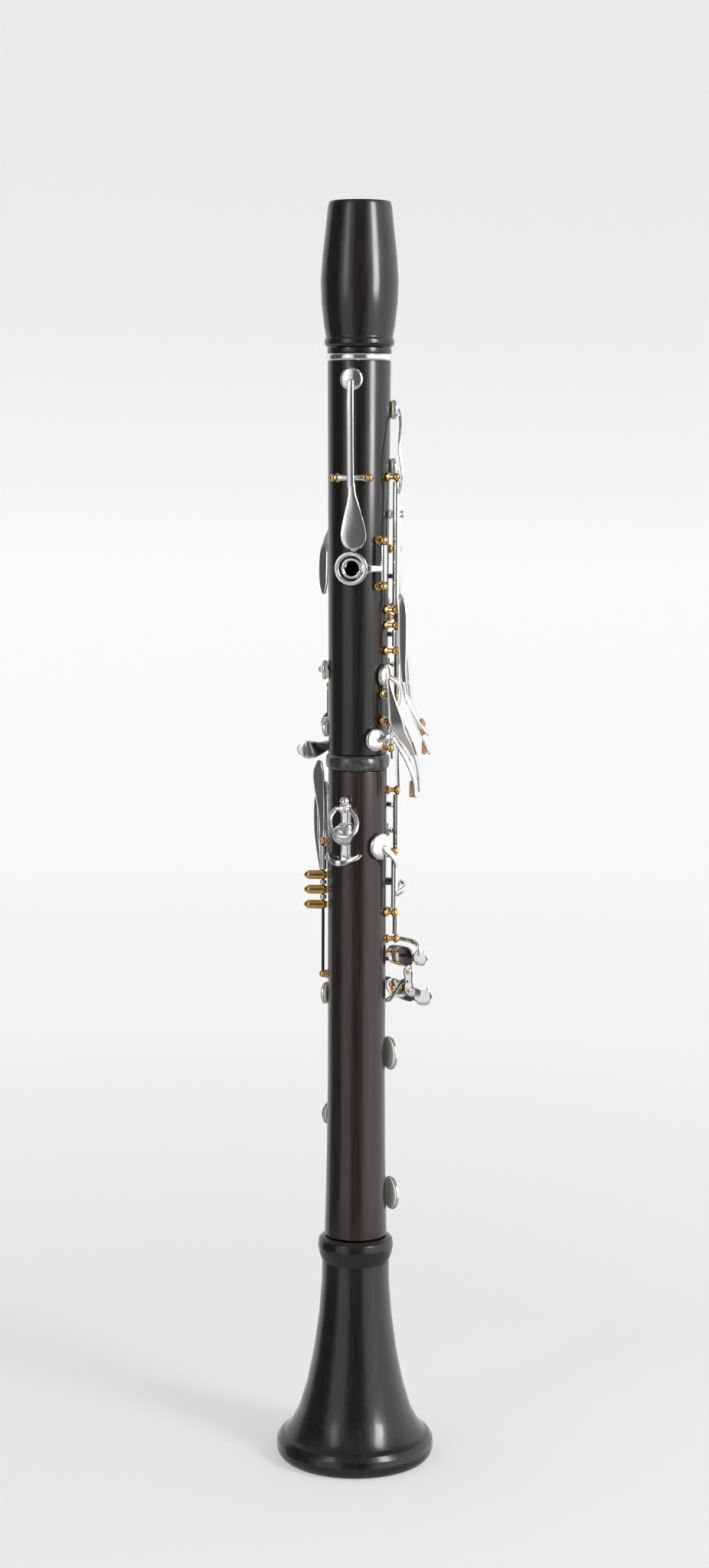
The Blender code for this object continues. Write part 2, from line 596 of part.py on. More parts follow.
def build_left_levers():
    """Three little-finger levers on one rod that runs through three bullet-shaped posts."""
    angle, out = LEFT_LEVER_LINE
    bullets = [turned([(0, 25.2), (1.3, 24.2), (2.15, 22.6), (2.15, 15.4), (1.6, 14.6), (1.6, 13.9),
                       (0, 13.9)],
                      Vector((0, 0, height)), radial(angle), TUBE_SIDES) for height in (280.0, 273.1, 266.0)]
    ends = [post(angle, height, out) for height in (233.0, 296.0)]
    spine = rod(polar(angle, out, 233.0), polar(angle, out, 296.0), ROD, POST_SIDES)
    part("left_lever_axle", GOLD, [spine] + bullets + ends)
    levers = {
        "left_lever_e": (282.6, 293.8, [((-16.4, -3.0, 288), 1.3), ((-17.4, 0.5, 294), 1.6),
                                        ((-17.6, 2.4, 302), 1.9),
                                        ((-18.4, 2.8, 312), 2.9), ((-19.5, 3.2, 321), 4.0),
                                        ((-19.9, 3.4, 327), 4.1),
                                        ((-19.4, 3.4, 331.6), 2.2)]),
        "left_lever_fs": (275.6, 277.5, [((-15.9, -2.0, 276.6), 0.8), ((-17.6, 3.0, 276.6), 0.8),
                                         ((-19.4, 6.4, 283), 1.3), ((-21.6, 7.2, 297), 1.6),
                                         ((-22.0, 7.4, 309), 1.7),
                                         ((-21.8, 7.4, 315), 1.2)]),
        "left_lever_f": (268.6, 270.6, [((-15.9, -2.0, 269.6), 0.8), ((-16.4, 5.0, 269.6), 0.8),
                                        ((-16.2, 9.6, 277), 1.3), ((-17.2, 11.0, 296), 1.6),
                                        ((-18.4, 11.4, 312), 2.6), ((-18.6, 11.4, 321), 1.8)]),
    }
    for name, (low, high, stations) in levers.items():
        tube = rod(polar(angle, out, low), polar(angle, out, high), 1.55)
        bore = rod(polar(angle, out, low - 1), polar(angle, out, high + 1), TUBE_BORE)
        lever = blade([(Vector(p), w, 0.7) for p, w in stations], out=(0, -1, 0))
        part(name, SILVER, [tube, lever], [bore], line_pivot(LEFT_LEVER_LINE, low))


def build_lower_rings():
    axle("lower_ring_axle", *LOWER_RING_LINE, (249.6, 320.0))
    tube, bore = hinge_tube(*LOWER_RING_LINE, 249.6, 320.0)
    pieces = [tube]
    for height in R_HEIGHTS:
        pieces.append(finger_ring(180, height, 16.3, 17.6, 5.2, 7.2))
        pieces.append(arc_arm(112, 158, height, (18.7, 18.7, 18.1)))
    pieces += [cup(146, 300, 3.9, lift=RING_LIFT), arc_arm(112, 142, 300, (18.7, 18.9, 17.0 + RING_LIFT))]
    pieces.append(polar_blade((115, 19.4, 312, 1.5, 0.8), (126, 20.6, 317, 1.6, 0.7),
                              (128, 20.4, 328, 1.8, 0.6),
                              (127, 20.0, 341, 1.8, 0.6)))
    part("lower_ring_key", SILVER, pieces, [bore], line_pivot(LOWER_RING_LINE, 288))


def build_b_sliver():
    axle("b_sliver_axle", *B_SLIVER_LINE, (263.1, 292.2))
    tube, bore = hinge_tube(*B_SLIVER_LINE, 263.1, 292.2)
    pivot = line_pivot(B_SLIVER_LINE, 295)
    arm = polar_blade((83, 19.4, 286, 1.5, 0.8), (74, 19.6, 290, 1.5, 0.8), (62, 17.4, 294.5, 1.4, 0.7))
    touch = polar_blade((87, 19.3, 272, 1.5, 0.8), (97, 21.8, 274, 1.5, 0.7), (112, 22.6, 275, 1.5, 0.7),
                        (130, 22.0, 275.6, 1.5, 0.7), (148, 19.8, 275, 1.9, 0.7), (156, 18.4, 275, 1.5, 0.7))
    part("b_sliver_key", SILVER, [tube, arm, touch, cup(60, 295, 6.2, True)], [bore], pivot)
    pad("b_sliver_pad", 60, 295, 6.2, pivot)


def touch_plate(inner, outer, height, half_height, tip_height=None):
    """A little-finger touch: a flat plate that slants from the front of the joint out to the right."""
    tip_height = height if tip_height is None else tip_height
    face = Vector((inner[1] - outer[1], outer[0] - inner[0], 0.0)).normalized()
    stations = []
    for share, fill in ((0.0, 0.55), (0.12, 0.9), (0.35, 1.0), (0.75, 1.0), (0.93, 0.75), (1.0, 0.4)):
        x, y = (inner[k] + (outer[k] - inner[k]) * share for k in (0, 1))
        z = height + (tip_height - height) * share
        stations.append((Vector((x, y, z)), half_height * fill, 0.7))
    return blade(stations, out=tuple(face))


FOOT_UNDER = Vector((-0.1, -0.99, 0.0))
FOOT_LOWER = Vector((24.9, 2.6, 226.2))
FOOT_UPPER = Vector((24.3, 2.6, 235.2))


def crows_foot():
    """The foot of the F/C key under the two touches beside it, with its two adjusting screws."""
    foot = blade([(FOOT_LOWER + Vector((5.2, 0.4, -1.4)), 1.8, 0.6),
                  (FOOT_LOWER + Vector((2.6, 0, -0.9)), 2.2, 0.6),
                  (FOOT_LOWER, 2.7, 0.6), ((FOOT_LOWER + FOOT_UPPER) / 2, 2.0, 0.6), (FOOT_UPPER, 2.4, 0.6),
                  (FOOT_UPPER + Vector((0.9, 0, 2.0)), 1.4, 0.6)], out=tuple(FOOT_UNDER))
    bosses = [rod(place, place + FOOT_UNDER * 1.5, 1.7, CUP_SIDES) for place in (FOOT_LOWER, FOOT_UPPER)]
    return [foot] + bosses


def build_little_finger_keys():
    """The four right-hand keys whose rods run down the front of the lower joint."""
    keys = {
        "f_c_key": (F_C_LINE, (186.0, 223.0), (BIG_PAD_ANGLE, F_C_PAD, 8.0),
                    [(8.3, 17.2, 218.2), (12.6, 13.0, 219.2), (16.4, 8.6, 224.0), (20.6, 4.6, 229.4),
                     (24.8, 2.5, 230.8)], touch_plate((27.9, 3.4), (34.8, 2.6), 223.2, 4.3, 224.0)),
        "e_b_key": (E_B_LINE, (116.5, 231.4), (BIG_PAD_ANGLE, E_B_PAD, 8.0),
                    [(2.0, 19.4, 228.3), (6.5, 20.9, 228.0), (11.5, 19.4, 227.4)],
                    touch_plate((9.8, 20.0), (26.4, 7.6), 224.6, 4.5, 223.2)),
        "fs_cs_key": (FS_CS_LINE, (154.0, 240.2), (250, 164.3, 5.5),
                      [(-4.2, 19.0, 236.6), (2.0, 21.2, 236.6), (11.5, 19.4, 237.6)],
                      touch_plate((9.8, 20.0), (25.2, 8.4), 239.8, 4.7, 240.6)),
        "gs_ds_key": (GS_DS_LINE, (214.0, 248.6), (268, 223.2, 5.3),
                      [(-12.3, 13.7, 244.4), (-5.0, 21.6, 245.0), (6.0, 22.8, 246.6), (17.0, 16.8, 247.8),
                       (24.2, 10.4, 248.0), (27.6, 7.8, 246.2), (28.2, 7.0, 242.4)],
                      touch_plate((26.2, 7.2), (31.8, 6.2), 241.0, 3.7)),
    }
    for name, (line, ends, (angle, height, radius), route, touch) in keys.items():
        axle(name[:-4] + "_axle", *line, ends)
        tube, bore = hinge_tube(*line, *ends)
        pivot = line_pivot(line, height)
        standing_open = radius > 7
        tilt = OPEN_TILT if standing_open else 0.0
        head = cup(angle, height, radius, standing_open, 0.0, pivot if standing_open else None, tilt)
        reach = 0.86 if standing_open else 0.9
        end = line[0] + (angle - line[0]) * reach
        crown = body_radius(height) + 3.0 + (0.1 * abs(angle - line[0]) ** 0.5 + 1.3 if standing_open else 0.0)
        arm = arc_arm(line[0], end, height, (18.4, 19.6, crown + 0.4), 1.6, 0.9)
        lever = blade([(Vector(point), 1.2, 0.75) for point in route])
        foot = crows_foot() if name == "f_c_key" else []
        part(name, SILVER, [tube, head, arm, lever, touch] + foot, [bore], pivot)
        if standing_open:
            pad(name[:-4] + "_pad", angle, height, radius, pivot, 0.0, pivot, tilt)


SCREW = 301.5               # height of the thumb rest's clamping screw


def saddle(angle):
    """The dished plate that rests on the thumb, and the deep lip along its front."""
    reach, dip = 7.6, 3.2
    plate = []
    lip = []
    for step in range(-4, 5):
        share = step / 4.2
        across = reach * share
        depth = 4.9 * math.sqrt(1 - share ** 2) + 0.2
        height = 289.0 + dip * share ** 2
        plate.append((beside(angle, across, 15.6 + depth, height), depth, 0.55))
        lip.append((beside(angle, across, 15.3 + 2 * depth, height + 0.1), 0.5, 1.35 - 0.6 * abs(share)))
    return blade(plate, out=(0, 0, 1)), blade(lip, out=(0, 0, 1))


def build_thumb_rest():
    angle = -5
    plate = [beside(angle, 0, 14.4, z) for z in (288.5, 290.0, 313.0, 314.5)]
    base = blade([(p, w, 0.4) for p, w in zip(plate, (1.8, 2.2, 2.2, 1.8))])
    sleeve = blade([(beside(angle, 0, 16.6, z), 3.3, 2.1) for z in (298.4, 304.8)])
    slot = blade([(beside(angle, 0, 16.3, z), 2.4, 1.35) for z in (296.5, 307.0)], out=tuple(radial(angle)))
    screw_hole = rod(beside(angle, 0, 15.5, SCREW), beside(angle, 0, 20.0, SCREW), 1.5)
    part("thumb_rest_base", SILVER, [base, sleeve], [slot, screw_hole])

    bar = blade([(beside(angle, 0, 16.3, z), w, 0.95) for z, w in ((289.4, 2.0), (293.0, 2.05), (313.0, 2.05),
                                                                  (316.5, 1.6))])
    ball = turned([(0, 2.3), (1.3, 1.9), (2.3, 0), (1.3, -1.9), (0, -2.3)], beside(angle, 0, 17.3, 316.8))
    hook, lip = saddle(angle)
    lug = rod(beside(angle, -1.3, 19.3, 313.6), beside(angle, 1.3, 19.3, 313.6), 2.2, 12)
    neck = rod(beside(angle, 0, 16.6, 314.4), beside(angle, 0, 18.2, 314.0), 1.2, 8)
    eye = rod(beside(angle, -3, 19.3, 313.6), beside(angle, 3, 19.3, 313.6), 1.4, 12)
    part("thumb_rest_hook", SILVER, [bar, ball, hook, lip, lug, neck], [eye])

    part("thumb_rest_screw", SILVER, [turned([(0, 4.9 + 18.4), (2.2, 4.6 + 18.4), (4.2, 3.2 + 18.4),
                                              (4.9, 1.7 + 18.4),
         (4.4, 19.2), (1.1, 19.1), (1.1, 17.7), (0, 17.7)], Vector((0, 0, SCREW)), radial(angle))])

    wire = 1.0
    tilt = math.radians(32)
    points = []
    for i in range(24):
        turn = 2 * math.pi * i / 24
        down = 7.1 * (1 - math.cos(turn)) * (1.0 if math.cos(turn) < 0.86 else 0.35)
        across = 6.6 * math.copysign(abs(math.sin(turn)) ** 0.9, math.sin(turn)) + 0.22 * down
        points.append(beside(angle, across, 19.3 + down * math.sin(tilt), 313.6 - down * math.cos(tilt)))
    curve = bpy.data.curves.new("loop", "CURVE")
    curve.dimensions = "3D"
    curve.bevel_depth = wire * MM
    curve.bevel_resolution = 1
    spline = curve.splines.new("POLY")
    spline.points.add(len(points) - 1)
    for knot, point in zip(spline.points, points):
        knot.co = (*(point * MM), 1.0)
    spline.use_cyclic_u = True
    loop = link_object("loop", curve)
    solid = link_object("loop_mesh", evaluated_mesh(loop))
    bpy.data.objects.remove(loop, do_unlink=True)
    part("strap_ring", SILVER, [solid], pivot=beside(angle, 0, 19.3, 313.6))


clear_scene()
PARTS = make_collection("clarinet")
WORKSHOP = make_collection("workshop")
build_barrel()
build_upper_joint()
build_lower_joint()
build_bell()
build_register_key()
build_thumb_ring()
build_upper_rings()
build_throat_keys()
build_side_keys()
build_left_upper_keys()
build_left_levers()
build_lower_rings()
build_b_sliver()
build_little_finger_keys()
build_thumb_rest()
bpy.data.collections.remove(WORKSHOP)
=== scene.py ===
"""The looks of a B-flat clarinet that stands on its bell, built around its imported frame.

Sizes are in millimetres and become metres when a mesh is made. +Z runs up the bore, the thumb side
faces -Y, the finger holes face +Y and the player's right is +X. Places on the body are an angle round it
(0 is the thumb side, 90 the player's right), a distance from the bore's axis and a height.
"""
import json
import math

import bmesh
import bpy
from mathutils import Matrix, Vector


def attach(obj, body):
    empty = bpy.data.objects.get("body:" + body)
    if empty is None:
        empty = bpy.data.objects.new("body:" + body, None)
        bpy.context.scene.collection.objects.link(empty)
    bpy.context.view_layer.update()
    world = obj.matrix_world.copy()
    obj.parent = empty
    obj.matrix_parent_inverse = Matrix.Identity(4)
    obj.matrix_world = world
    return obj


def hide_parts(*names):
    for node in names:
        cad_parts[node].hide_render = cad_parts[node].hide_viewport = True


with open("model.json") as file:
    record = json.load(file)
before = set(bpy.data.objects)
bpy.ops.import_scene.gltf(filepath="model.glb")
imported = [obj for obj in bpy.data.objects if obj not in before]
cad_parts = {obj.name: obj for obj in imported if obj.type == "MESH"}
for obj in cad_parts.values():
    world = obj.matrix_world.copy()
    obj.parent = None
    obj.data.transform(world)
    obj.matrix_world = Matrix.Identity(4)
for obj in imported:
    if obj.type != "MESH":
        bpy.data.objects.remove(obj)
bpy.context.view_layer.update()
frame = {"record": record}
BODY_OF = {node: body for body, nodes in frame["record"]["behaviour"]["bodies"].items() for node in nodes}

MM = 0.001
GAP = 0.3                   # clearance kept between neighbouring pieces
BODY_SIDES = 96
CUP_SIDES = 40
TUBE_SIDES = 28
POST_SIDES = 24
RING_SIDES = 56

# Heights along the bore
BARREL_TOP = 589.0
BARREL_BOTTOM = 523.7
UPPER_BOTTOM = 337.6
COLLAR_TOP = 337.2
COLLAR_BOTTOM = 330.0
LOWER_BOTTOM = 108.0
RING_TOP = 520.6            # silver ring let into the upper joint
RING_BOTTOM = 517.5
TENON_TOP = 540.0
MIDDLE_TENON_END = 316.0
BELL_TENON_END = 89.0

# Radii
BORE = 7.4
TENON = 10.4
TENON_CORE = 9.4
SOCKET = 10.9
MOUTHPIECE_SOCKET = 11.3
BELL_RADIUS = 37.5

# Keywork stock
ROD = 0.7
TUBE_BORE = 1.1
TUBE = 1.65
BALL = 1.8
POST_NECK = 1.1
POST_FOOT = 2.1

# Outside radius of the two joints at heights from the bell up
BODY_RADII = [(108.0, 14.8), (129.0, 14.2), (147.0, 13.9), (184.0, 13.5), (257.0, 13.6), (337.0, 13.6),
              (356.0, 13.7), (410.0, 13.9), (516.0, 14.5), (524.0, 14.6)]


WOOD = "grenadilla"
SILVER = "silver_plate"
GOLD = "gold_plate"
COLLAR = "collar_horn"
CORK = "cork"
PAD = "pad_skin"


# ---------------------------------------------------------------- places and vectors

def radial(angle):
    """Unit vector out of the body at an angle."""
    turn = math.radians(angle)
    return Vector((math.sin(turn), -math.cos(turn), 0.0))


def tangent(angle):
    """Unit vector round the body, towards larger angles."""
    turn = math.radians(angle)
    return Vector((math.cos(turn), math.sin(turn), 0.0))


def polar(angle, radius, height):
    return radial(angle) * radius + Vector((0.0, 0.0, height))


def beside(angle, across, out, height):
    """A point given across and out from the bore's axis, seen square on at an angle."""
    return tangent(angle) * across + radial(angle) * out + Vector((0.0, 0.0, height))


def body_radius(height):
    """Outside radius of the joints at a height."""
    for (low, low_r), (high, high_r) in zip(BODY_RADII, BODY_RADII[1:]):
        if low <= height <= high:
            return low_r + (high_r - low_r) * (height - low) / (high - low)
    return BODY_RADII[0][1] if height < BODY_RADII[0][0] else BODY_RADII[-1][1]


# ---------------------------------------------------------------- materials

class Nodes:
    """A short way to wire a procedural material."""

    def __init__(self, name):
        self.material = bpy.data.materials.new("look_" + name)
        self.material.use_nodes = True
        self.tree = self.material.node_tree
        self.shader = self.tree.nodes["Principled BSDF"]
        self.place = self.add("ShaderNodeTexCoord").outputs["Object"]

    def add(self, kind, **settings):
        node = self.tree.nodes.new(kind)
        for key, value in settings.items():
            setattr(node, key, value)
        return node

    def link(self, output, target):
        self.tree.links.new(output, target)

    def stretched(self, scale):
        mapping = self.add("ShaderNodeMapping")
        mapping.inputs["Scale"].default_value = scale
        self.link(self.place, mapping.inputs["Vector"])
        return mapping.outputs["Vector"]

    def noise(self, scale, stretch=(1, 1, 1), detail=4.0, roughness=0.55):
        node = self.add("ShaderNodeTexNoise")
        node.inputs["Scale"].default_value = scale
        node.inputs["Detail"].default_value = detail
        node.inputs["Roughness"].default_value = roughness
        self.link(self.stretched(stretch), node.inputs["Vector"])
        return node.outputs["Fac"]

    def ramp(self, source, stops):
        node = self.add("ShaderNodeValToRGB")
        while len(node.color_ramp.elements) < len(stops):
            node.color_ramp.elements.new(0.5)
        for element, (position, colour) in zip(node.color_ramp.elements, stops):
            element.position = position
            element.color = (*colour, 1.0)
        self.link(source, node.inputs["Fac"])
        return node.outputs["Color"]

    def spread(self, source, low, high):
        node = self.add("ShaderNodeMapRange")
        node.inputs["From Min"].default_value = 0.3
        node.inputs["From Max"].default_value = 0.7
        node.inputs["To Min"].default_value = low
        node.inputs["To Max"].default_value = high
        self.link(source, node.inputs["Value"])
        return node.outputs["Result"]

    def bump(self, source, strength, distance):
        node = self.add("ShaderNodeBump")
        node.inputs["Strength"].default_value = strength
        node.inputs["Distance"].default_value = distance
        self.link(source, node.inputs["Height"])
        self.link(node.outputs["Normal"], self.shader.inputs["Normal"])


def wood_look(name, dark, light):
    """Oiled grenadilla: near black, with long fine grain, open pores and a satin polish."""
    look = Nodes(name)
    grain = look.noise(900.0, (1, 1, 0.035), 6.0, 0.6)
    look.link(look.ramp(grain, [(0.35, dark), (0.7, light)]), look.shader.inputs["Base Color"])
    look.link(look.spread(look.noise(260.0, (1, 1, 0.2)), 0.17, 0.28), look.shader.inputs["Roughness"])
    look.bump(look.noise(2600.0, (1, 1, 0.03), 2.0), 0.08, 0.00005)
    look.shader.inputs["Specular IOR Level"].default_value = 0.55
    look.shader.inputs["Coat Weight"].default_value = 0.2
    look.shader.inputs["Coat Roughness"].default_value = 0.12
    return look.material


def metal_look(name, dark, light, rough):
    """Plated metal: a mirror polish with faint wear from handling."""
    look = Nodes(name)
    wear = look.noise(240.0, detail=5.0)
    look.link(look.ramp(wear, [(0.3, dark), (0.7, light)]), look.shader.inputs["Base Color"])
    look.link(look.spread(look.noise(620.0, detail=3.0), rough * 0.7, rough * 1.5),
              look.shader.inputs["Roughness"])
    look.shader.inputs["Metallic"].default_value = 1.0
    look.bump(look.noise(4200.0, detail=2.0), 0.03, 0.00002)
    return look.material


def mottled_look(name):
    """The collar's polished grey-green horn, with cloudy light flecks."""
    look = Nodes(name)
    cloud = look.noise(420.0, detail=7.0, roughness=0.7)
    look.link(look.ramp(cloud, [(0.35, (0.014, 0.016, 0.015)), (0.55, (0.038, 0.044, 0.04)),
                                (0.74, (0.11, 0.12, 0.108))]), look.shader.inputs["Base Color"])
    look.link(look.spread(look.noise(900.0), 0.16, 0.3), look.shader.inputs["Roughness"])
    look.shader.inputs["Coat Weight"].default_value = 0.5
    look.shader.inputs["Coat Roughness"].default_value = 0.08
    return look.material


def cork_look(name):
    look = Nodes(name)
    grain = look.noise(1500.0, detail=6.0, roughness=0.7)
    look.link(look.ramp(grain, [(0.3, (0.18, 0.085, 0.035)), (0.5, (0.45, 0.25, 0.12)),
                                (0.7, (0.62, 0.4, 0.22))]),
              look.shader.inputs["Base Color"])
    look.shader.inputs["Roughness"].default_value = 0.85
    look.bump(grain, 0.5, 0.0002)
    return look.material


def pad_look(name):
    """Pale double skin over felt."""
    look = Nodes(name)
    skin = look.noise(700.0, detail=5.0)
    look.link(look.ramp(skin, [(0.3, (0.62, 0.59, 0.53)), (0.7, (0.84, 0.82, 0.77))]),
              look.shader.inputs["Base Color"])
    look.link(look.spread(skin, 0.45, 0.65), look.shader.inputs["Roughness"])
    look.bump(look.noise(2400.0), 0.25, 0.00005)
    look.shader.inputs["Sheen Weight"].default_value = 0.15
    return look.material


LOOKS = {
    WOOD: wood_look(WOOD, (0.0042, 0.0036, 0.0034), (0.0155, 0.0122, 0.0108)),
    "lower_wood": wood_look("lower_wood", (0.0085, 0.0062, 0.0056), (0.029, 0.0185, 0.016)),
    SILVER: metal_look(SILVER, (0.86, 0.85, 0.84), (0.97, 0.965, 0.955), 0.07),
    GOLD: metal_look(GOLD, (0.78, 0.47, 0.17), (0.93, 0.62, 0.27), 0.09),
    "blued_steel": metal_look("blued_steel", (0.035, 0.035, 0.04), (0.09, 0.088, 0.09), 0.2),
    COLLAR: mottled_look(COLLAR),
    CORK: cork_look(CORK),
    PAD: pad_look(PAD),
}


# ---------------------------------------------------------------- building blocks

def shape_of(parts):
    """One bmesh holding several closed shells."""
    whole = bmesh.new()
    for shell in parts:
        mesh = bpy.data.meshes.new("shell")
        shell.to_mesh(mesh)
        shell.free()
        whole.from_mesh(mesh)
        bpy.data.meshes.remove(mesh)
    return whole


def facing(origin, direction):
    """A matrix that stands local +Z along a direction at a point, both in millimetres."""
    turn = direction.normalized().to_track_quat("Z", "Y").to_matrix().to_4x4()
    return Matrix.Translation(origin * MM) @ turn


def softened(profile, ring, radius=0.3):
    """A profile with its corners rounded, and its long flowing stretches left alone."""
    count = len(profile)
    points = [Vector(p) for p in profile]
    rounded = []
    for i, point in enumerate(points):
        if not ring and i in (0, count - 1):
            rounded.append(point)
            continue
        before = points[i - 1] - point
        after = points[(i + 1) % count] - point
        if before.length < 1e-6 or after.length < 1e-6 or before.angle(after) > math.radians(168):
            rounded.append(point)
            continue
        back = min(radius, before.length * 0.42, after.length * 0.42)
        start = point + before.normalized() * back
        end = point + after.normalized() * back
        for k in range(4):
            t = k / 3
            rounded.append(start * (1 - t) ** 2 + point * 2 * t * (1 - t) + end * t ** 2)
    return rounded


def turned(profile, origin=Vector((0, 0, 0)), direction=Vector((0, 0, 1)), sides=CUP_SIDES, ring=False,
           soft=0.3):
    """A turned shell from (radius, height) points."""
    points = softened(profile, ring, soft)
    shape = bmesh.new()
    rows = []
    for radius, height in points:
        if radius < 1e-4:
            rows.append([shape.verts.new((0, 0, height * MM))])
            continue
        rows.append([shape.verts.new((radius * MM * math.cos(2 * math.pi * k / sides),
                                      radius * MM * math.sin(2 * math.pi * k / sides), height * MM))
                     for k in range(sides)])
    pairs = list(zip(rows, rows[1:]))
    if ring:
        pairs.append((rows[-1], rows[0]))
    for low, high in pairs:
        for k in range(sides):
            corners = [low[k % len(low)], low[(k + 1) % len(low)], high[(k + 1) % len(high)],
                       high[k % len(high)]]
            unique = list(dict.fromkeys(corners))
            if len(unique) > 2:
                shape.faces.new(unique)
    bmesh.ops.transform(shape, matrix=facing(origin, direction), verts=shape.verts)
    bmesh.ops.recalc_face_normals(shape, faces=shape.faces)
    return shape


def rod(start, end, radius, sides=TUBE_SIDES):
    """A round bar with eased ends."""
    length = (end - start).length
    return turned([(0, length), (radius, length), (radius, 0), (0, 0)], start, end - start, sides,
                  soft=radius * 0.18)


def curved(values, steps):
    """Vectors or numbers read from a smooth curve through them."""
    result = []
    last = len(values) - 1
    for i in range(last):
        a, b, c, d = values[max(i - 1, 0)], values[i], values[i + 1], values[min(i + 2, last)]
        for k in range(steps):
            t = k / steps
            result.append(0.5 * (b * 2 + (c - a) * t + (a * 2 - b * 5 + c * 4 - d) * t ** 2
                                 + (b * 3 - a - c * 3 + d) * t ** 3))
    result.append(values[-1])
    return result


def blade(stations, out=None, steps=6):
    """A forged arm with a soft section and round ends, lofted through (point, half width, half thickness)."""
    points = curved([s[0] for s in stations], steps)
    widths = curved([float(s[1]) for s in stations], steps)
    thicks = curved([float(s[2]) for s in stations], steps)
    outline = []
    for k in range(20):
        turn = 2 * math.pi * k / 20
        c, s = math.cos(turn), math.sin(turn)
        outline.append((math.copysign(abs(c) ** 0.62, c), math.copysign(abs(s) ** 0.62, s)))
    rows = []
    count = len(points)
    for i in range(count):
        along = (points[min(i + 1, count - 1)] - points[max(i - 1, 0)]).normalized()
        away = Vector(out) if out else Vector((points[i].x, points[i].y, 0.0))
        away = (away - along * away.dot(along)).normalized()
        rows.append((points[i], along, away, widths[i], thicks[i]))
    caps = ((1.0, 0.0), (0.87, 0.5), (0.62, 0.79), (0.3, 0.95))
    first, final = rows[0], rows[-1]
    start = [(first[0] - first[1] * first[3] * 0.7 * d, first[1], first[2], first[3] * w,
              first[4] * max(w, 0.5))
             for w, d in reversed(caps[1:])]
    finish = [(final[0] + final[1] * final[3] * 0.7 * d, final[1], final[2], final[3] * w,
               final[4] * max(w, 0.5))
              for w, d in caps[1:]]
    shape = bmesh.new()
    rings = []
    for point, along, away, width, thick in start + rows + finish:
        side = along.cross(away)
        rings.append([shape.verts.new((point + side * width * u + away * thick * v) * MM) for u,
                      v in outline])
    for low, high in zip(rings, rings[1:]):
        for k in range(20):
            shape.faces.new((low[k], low[(k + 1) % 20], high[(k + 1) % 20], high[k]))
    shape.faces.new(rings[0])
    shape.faces.new(rings[-1])
    bmesh.ops.recalc_face_normals(shape, faces=shape.faces)
    return shape


def loose_object(name, shape):
    mesh = bpy.data.meshes.new(name)
    shape.to_mesh(mesh)
    shape.free()
    item = bpy.data.objects.new(name, mesh)
    bpy.context.scene.collection.objects.link(item)
    return item


def carved(base, additions, cutters):
    """One shape from a base with others joined to it and holes cut for good."""
    item = loose_object("carving", base)
    tools = [(shape, "UNION") for shape in additions] + [(shape, "DIFFERENCE") for shape in cutters]
    used = []
    for shape, operation in tools:
        step = item.modifiers.new(operation, "BOOLEAN")
        step.operation = operation
        step.solver = "EXACT"
        step.object = loose_object("tool", shape)
        used.append(step.object)
    bpy.context.view_layer.update()
    graph = bpy.context.evaluated_depsgraph_get()
    mesh = bpy.data.meshes.new_from_object(item.evaluated_get(graph))
    for tool in used + [item]:
        bpy.data.objects.remove(tool, do_unlink=True)
    result = bmesh.new()
    result.from_mesh(mesh)
    return result


def piece(name, look, pieces, body, sharp=40):
    """A finished visual piece that rides on a body."""
    item = loose_object(name, shape_of(pieces))
    mesh = item.data
    mesh.materials.clear()
    mesh.materials.append(LOOKS[look])
    for face in mesh.polygons:
        face.use_smooth = True
    mesh.set_sharp_from_angle(angle=math.radians(sharp))
    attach(item, body)
    return item


def part(name, look, pieces, cutters=()):
    """The visual piece that stands for a CAD node; the wooden joints have their tone holes cut."""
    if look == WOOD and cutters:
        pieces = [carved(pieces[0], pieces[1:], cutters)]
    shade = "lower_wood" if name == "lower_joint" else look
    made = piece(name + "_look", shade, pieces, BODY_OF[name])
    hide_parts(name)
    if SMALL_PADS:
        piece(name + "_pads", PAD, list(SMALL_PADS), BODY_OF[name])
        SMALL_PADS.clear()
    return made


# ---------------------------------------------------------------- keywork pieces

def post(angle, height, axle_radius):
    """A ball-headed post with a turned foot."""
    base = body_radius(height) + GAP
    ball = [(BALL * math.sin(math.radians(t)), axle_radius + BALL * math.cos(math.radians(t)))
            for t in range(0, 150, 12)]
    stem = [(POST_NECK, axle_radius - BALL * 0.95), (POST_NECK, base + 1.5), (POST_NECK * 1.5, base + 1.2),
            (POST_FOOT, base + 0.75), (POST_FOOT, base - 0.2), (0, base - 0.2)]
    return turned(ball + stem, Vector((0, 0, height)), radial(angle), POST_SIDES, soft=0.15)


def steel_rod(name, start, end):
    """The blued rod of an axle, with a screwdriver slot in each end."""
    along = (end - start).normalized()
    across = along.orthogonal()
    slots = [blade([(place - across * 2, 0.18, 0.35), (place + across * 2, 0.18, 0.35)], out=tuple(along))
             for place in (start, end)]
    return piece(name + "_rod", "blued_steel", [carved(rod(start, end, ROD, POST_SIDES), [], slots)],
                 BODY_OF[name])


def axle(name, angle, axle_radius, heights):
    """An upright hinge rod held by posts."""
    low = polar(angle, axle_radius, min(heights) - BALL - 0.1)
    high = polar(angle, axle_radius, max(heights) + BALL + 0.1)
    posts = [post(angle, height, axle_radius) for height in heights]
    part(name, GOLD, posts)
    return steel_rod(name, low, high)


def cross_axle(name, angle, spread, post_radius, height):
    """A hinge rod across the body between two posts."""
    posts = [post(angle + turn, height, post_radius) for turn in (-spread, spread)]
    ends = [polar(angle + turn, post_radius, height) for turn in (-spread, spread)]
    part(name, GOLD, posts)
    reach = (ends[1] - ends[0]).normalized() * (BALL + 0.1)
    return steel_rod(name, ends[0] - reach, ends[1] + reach)


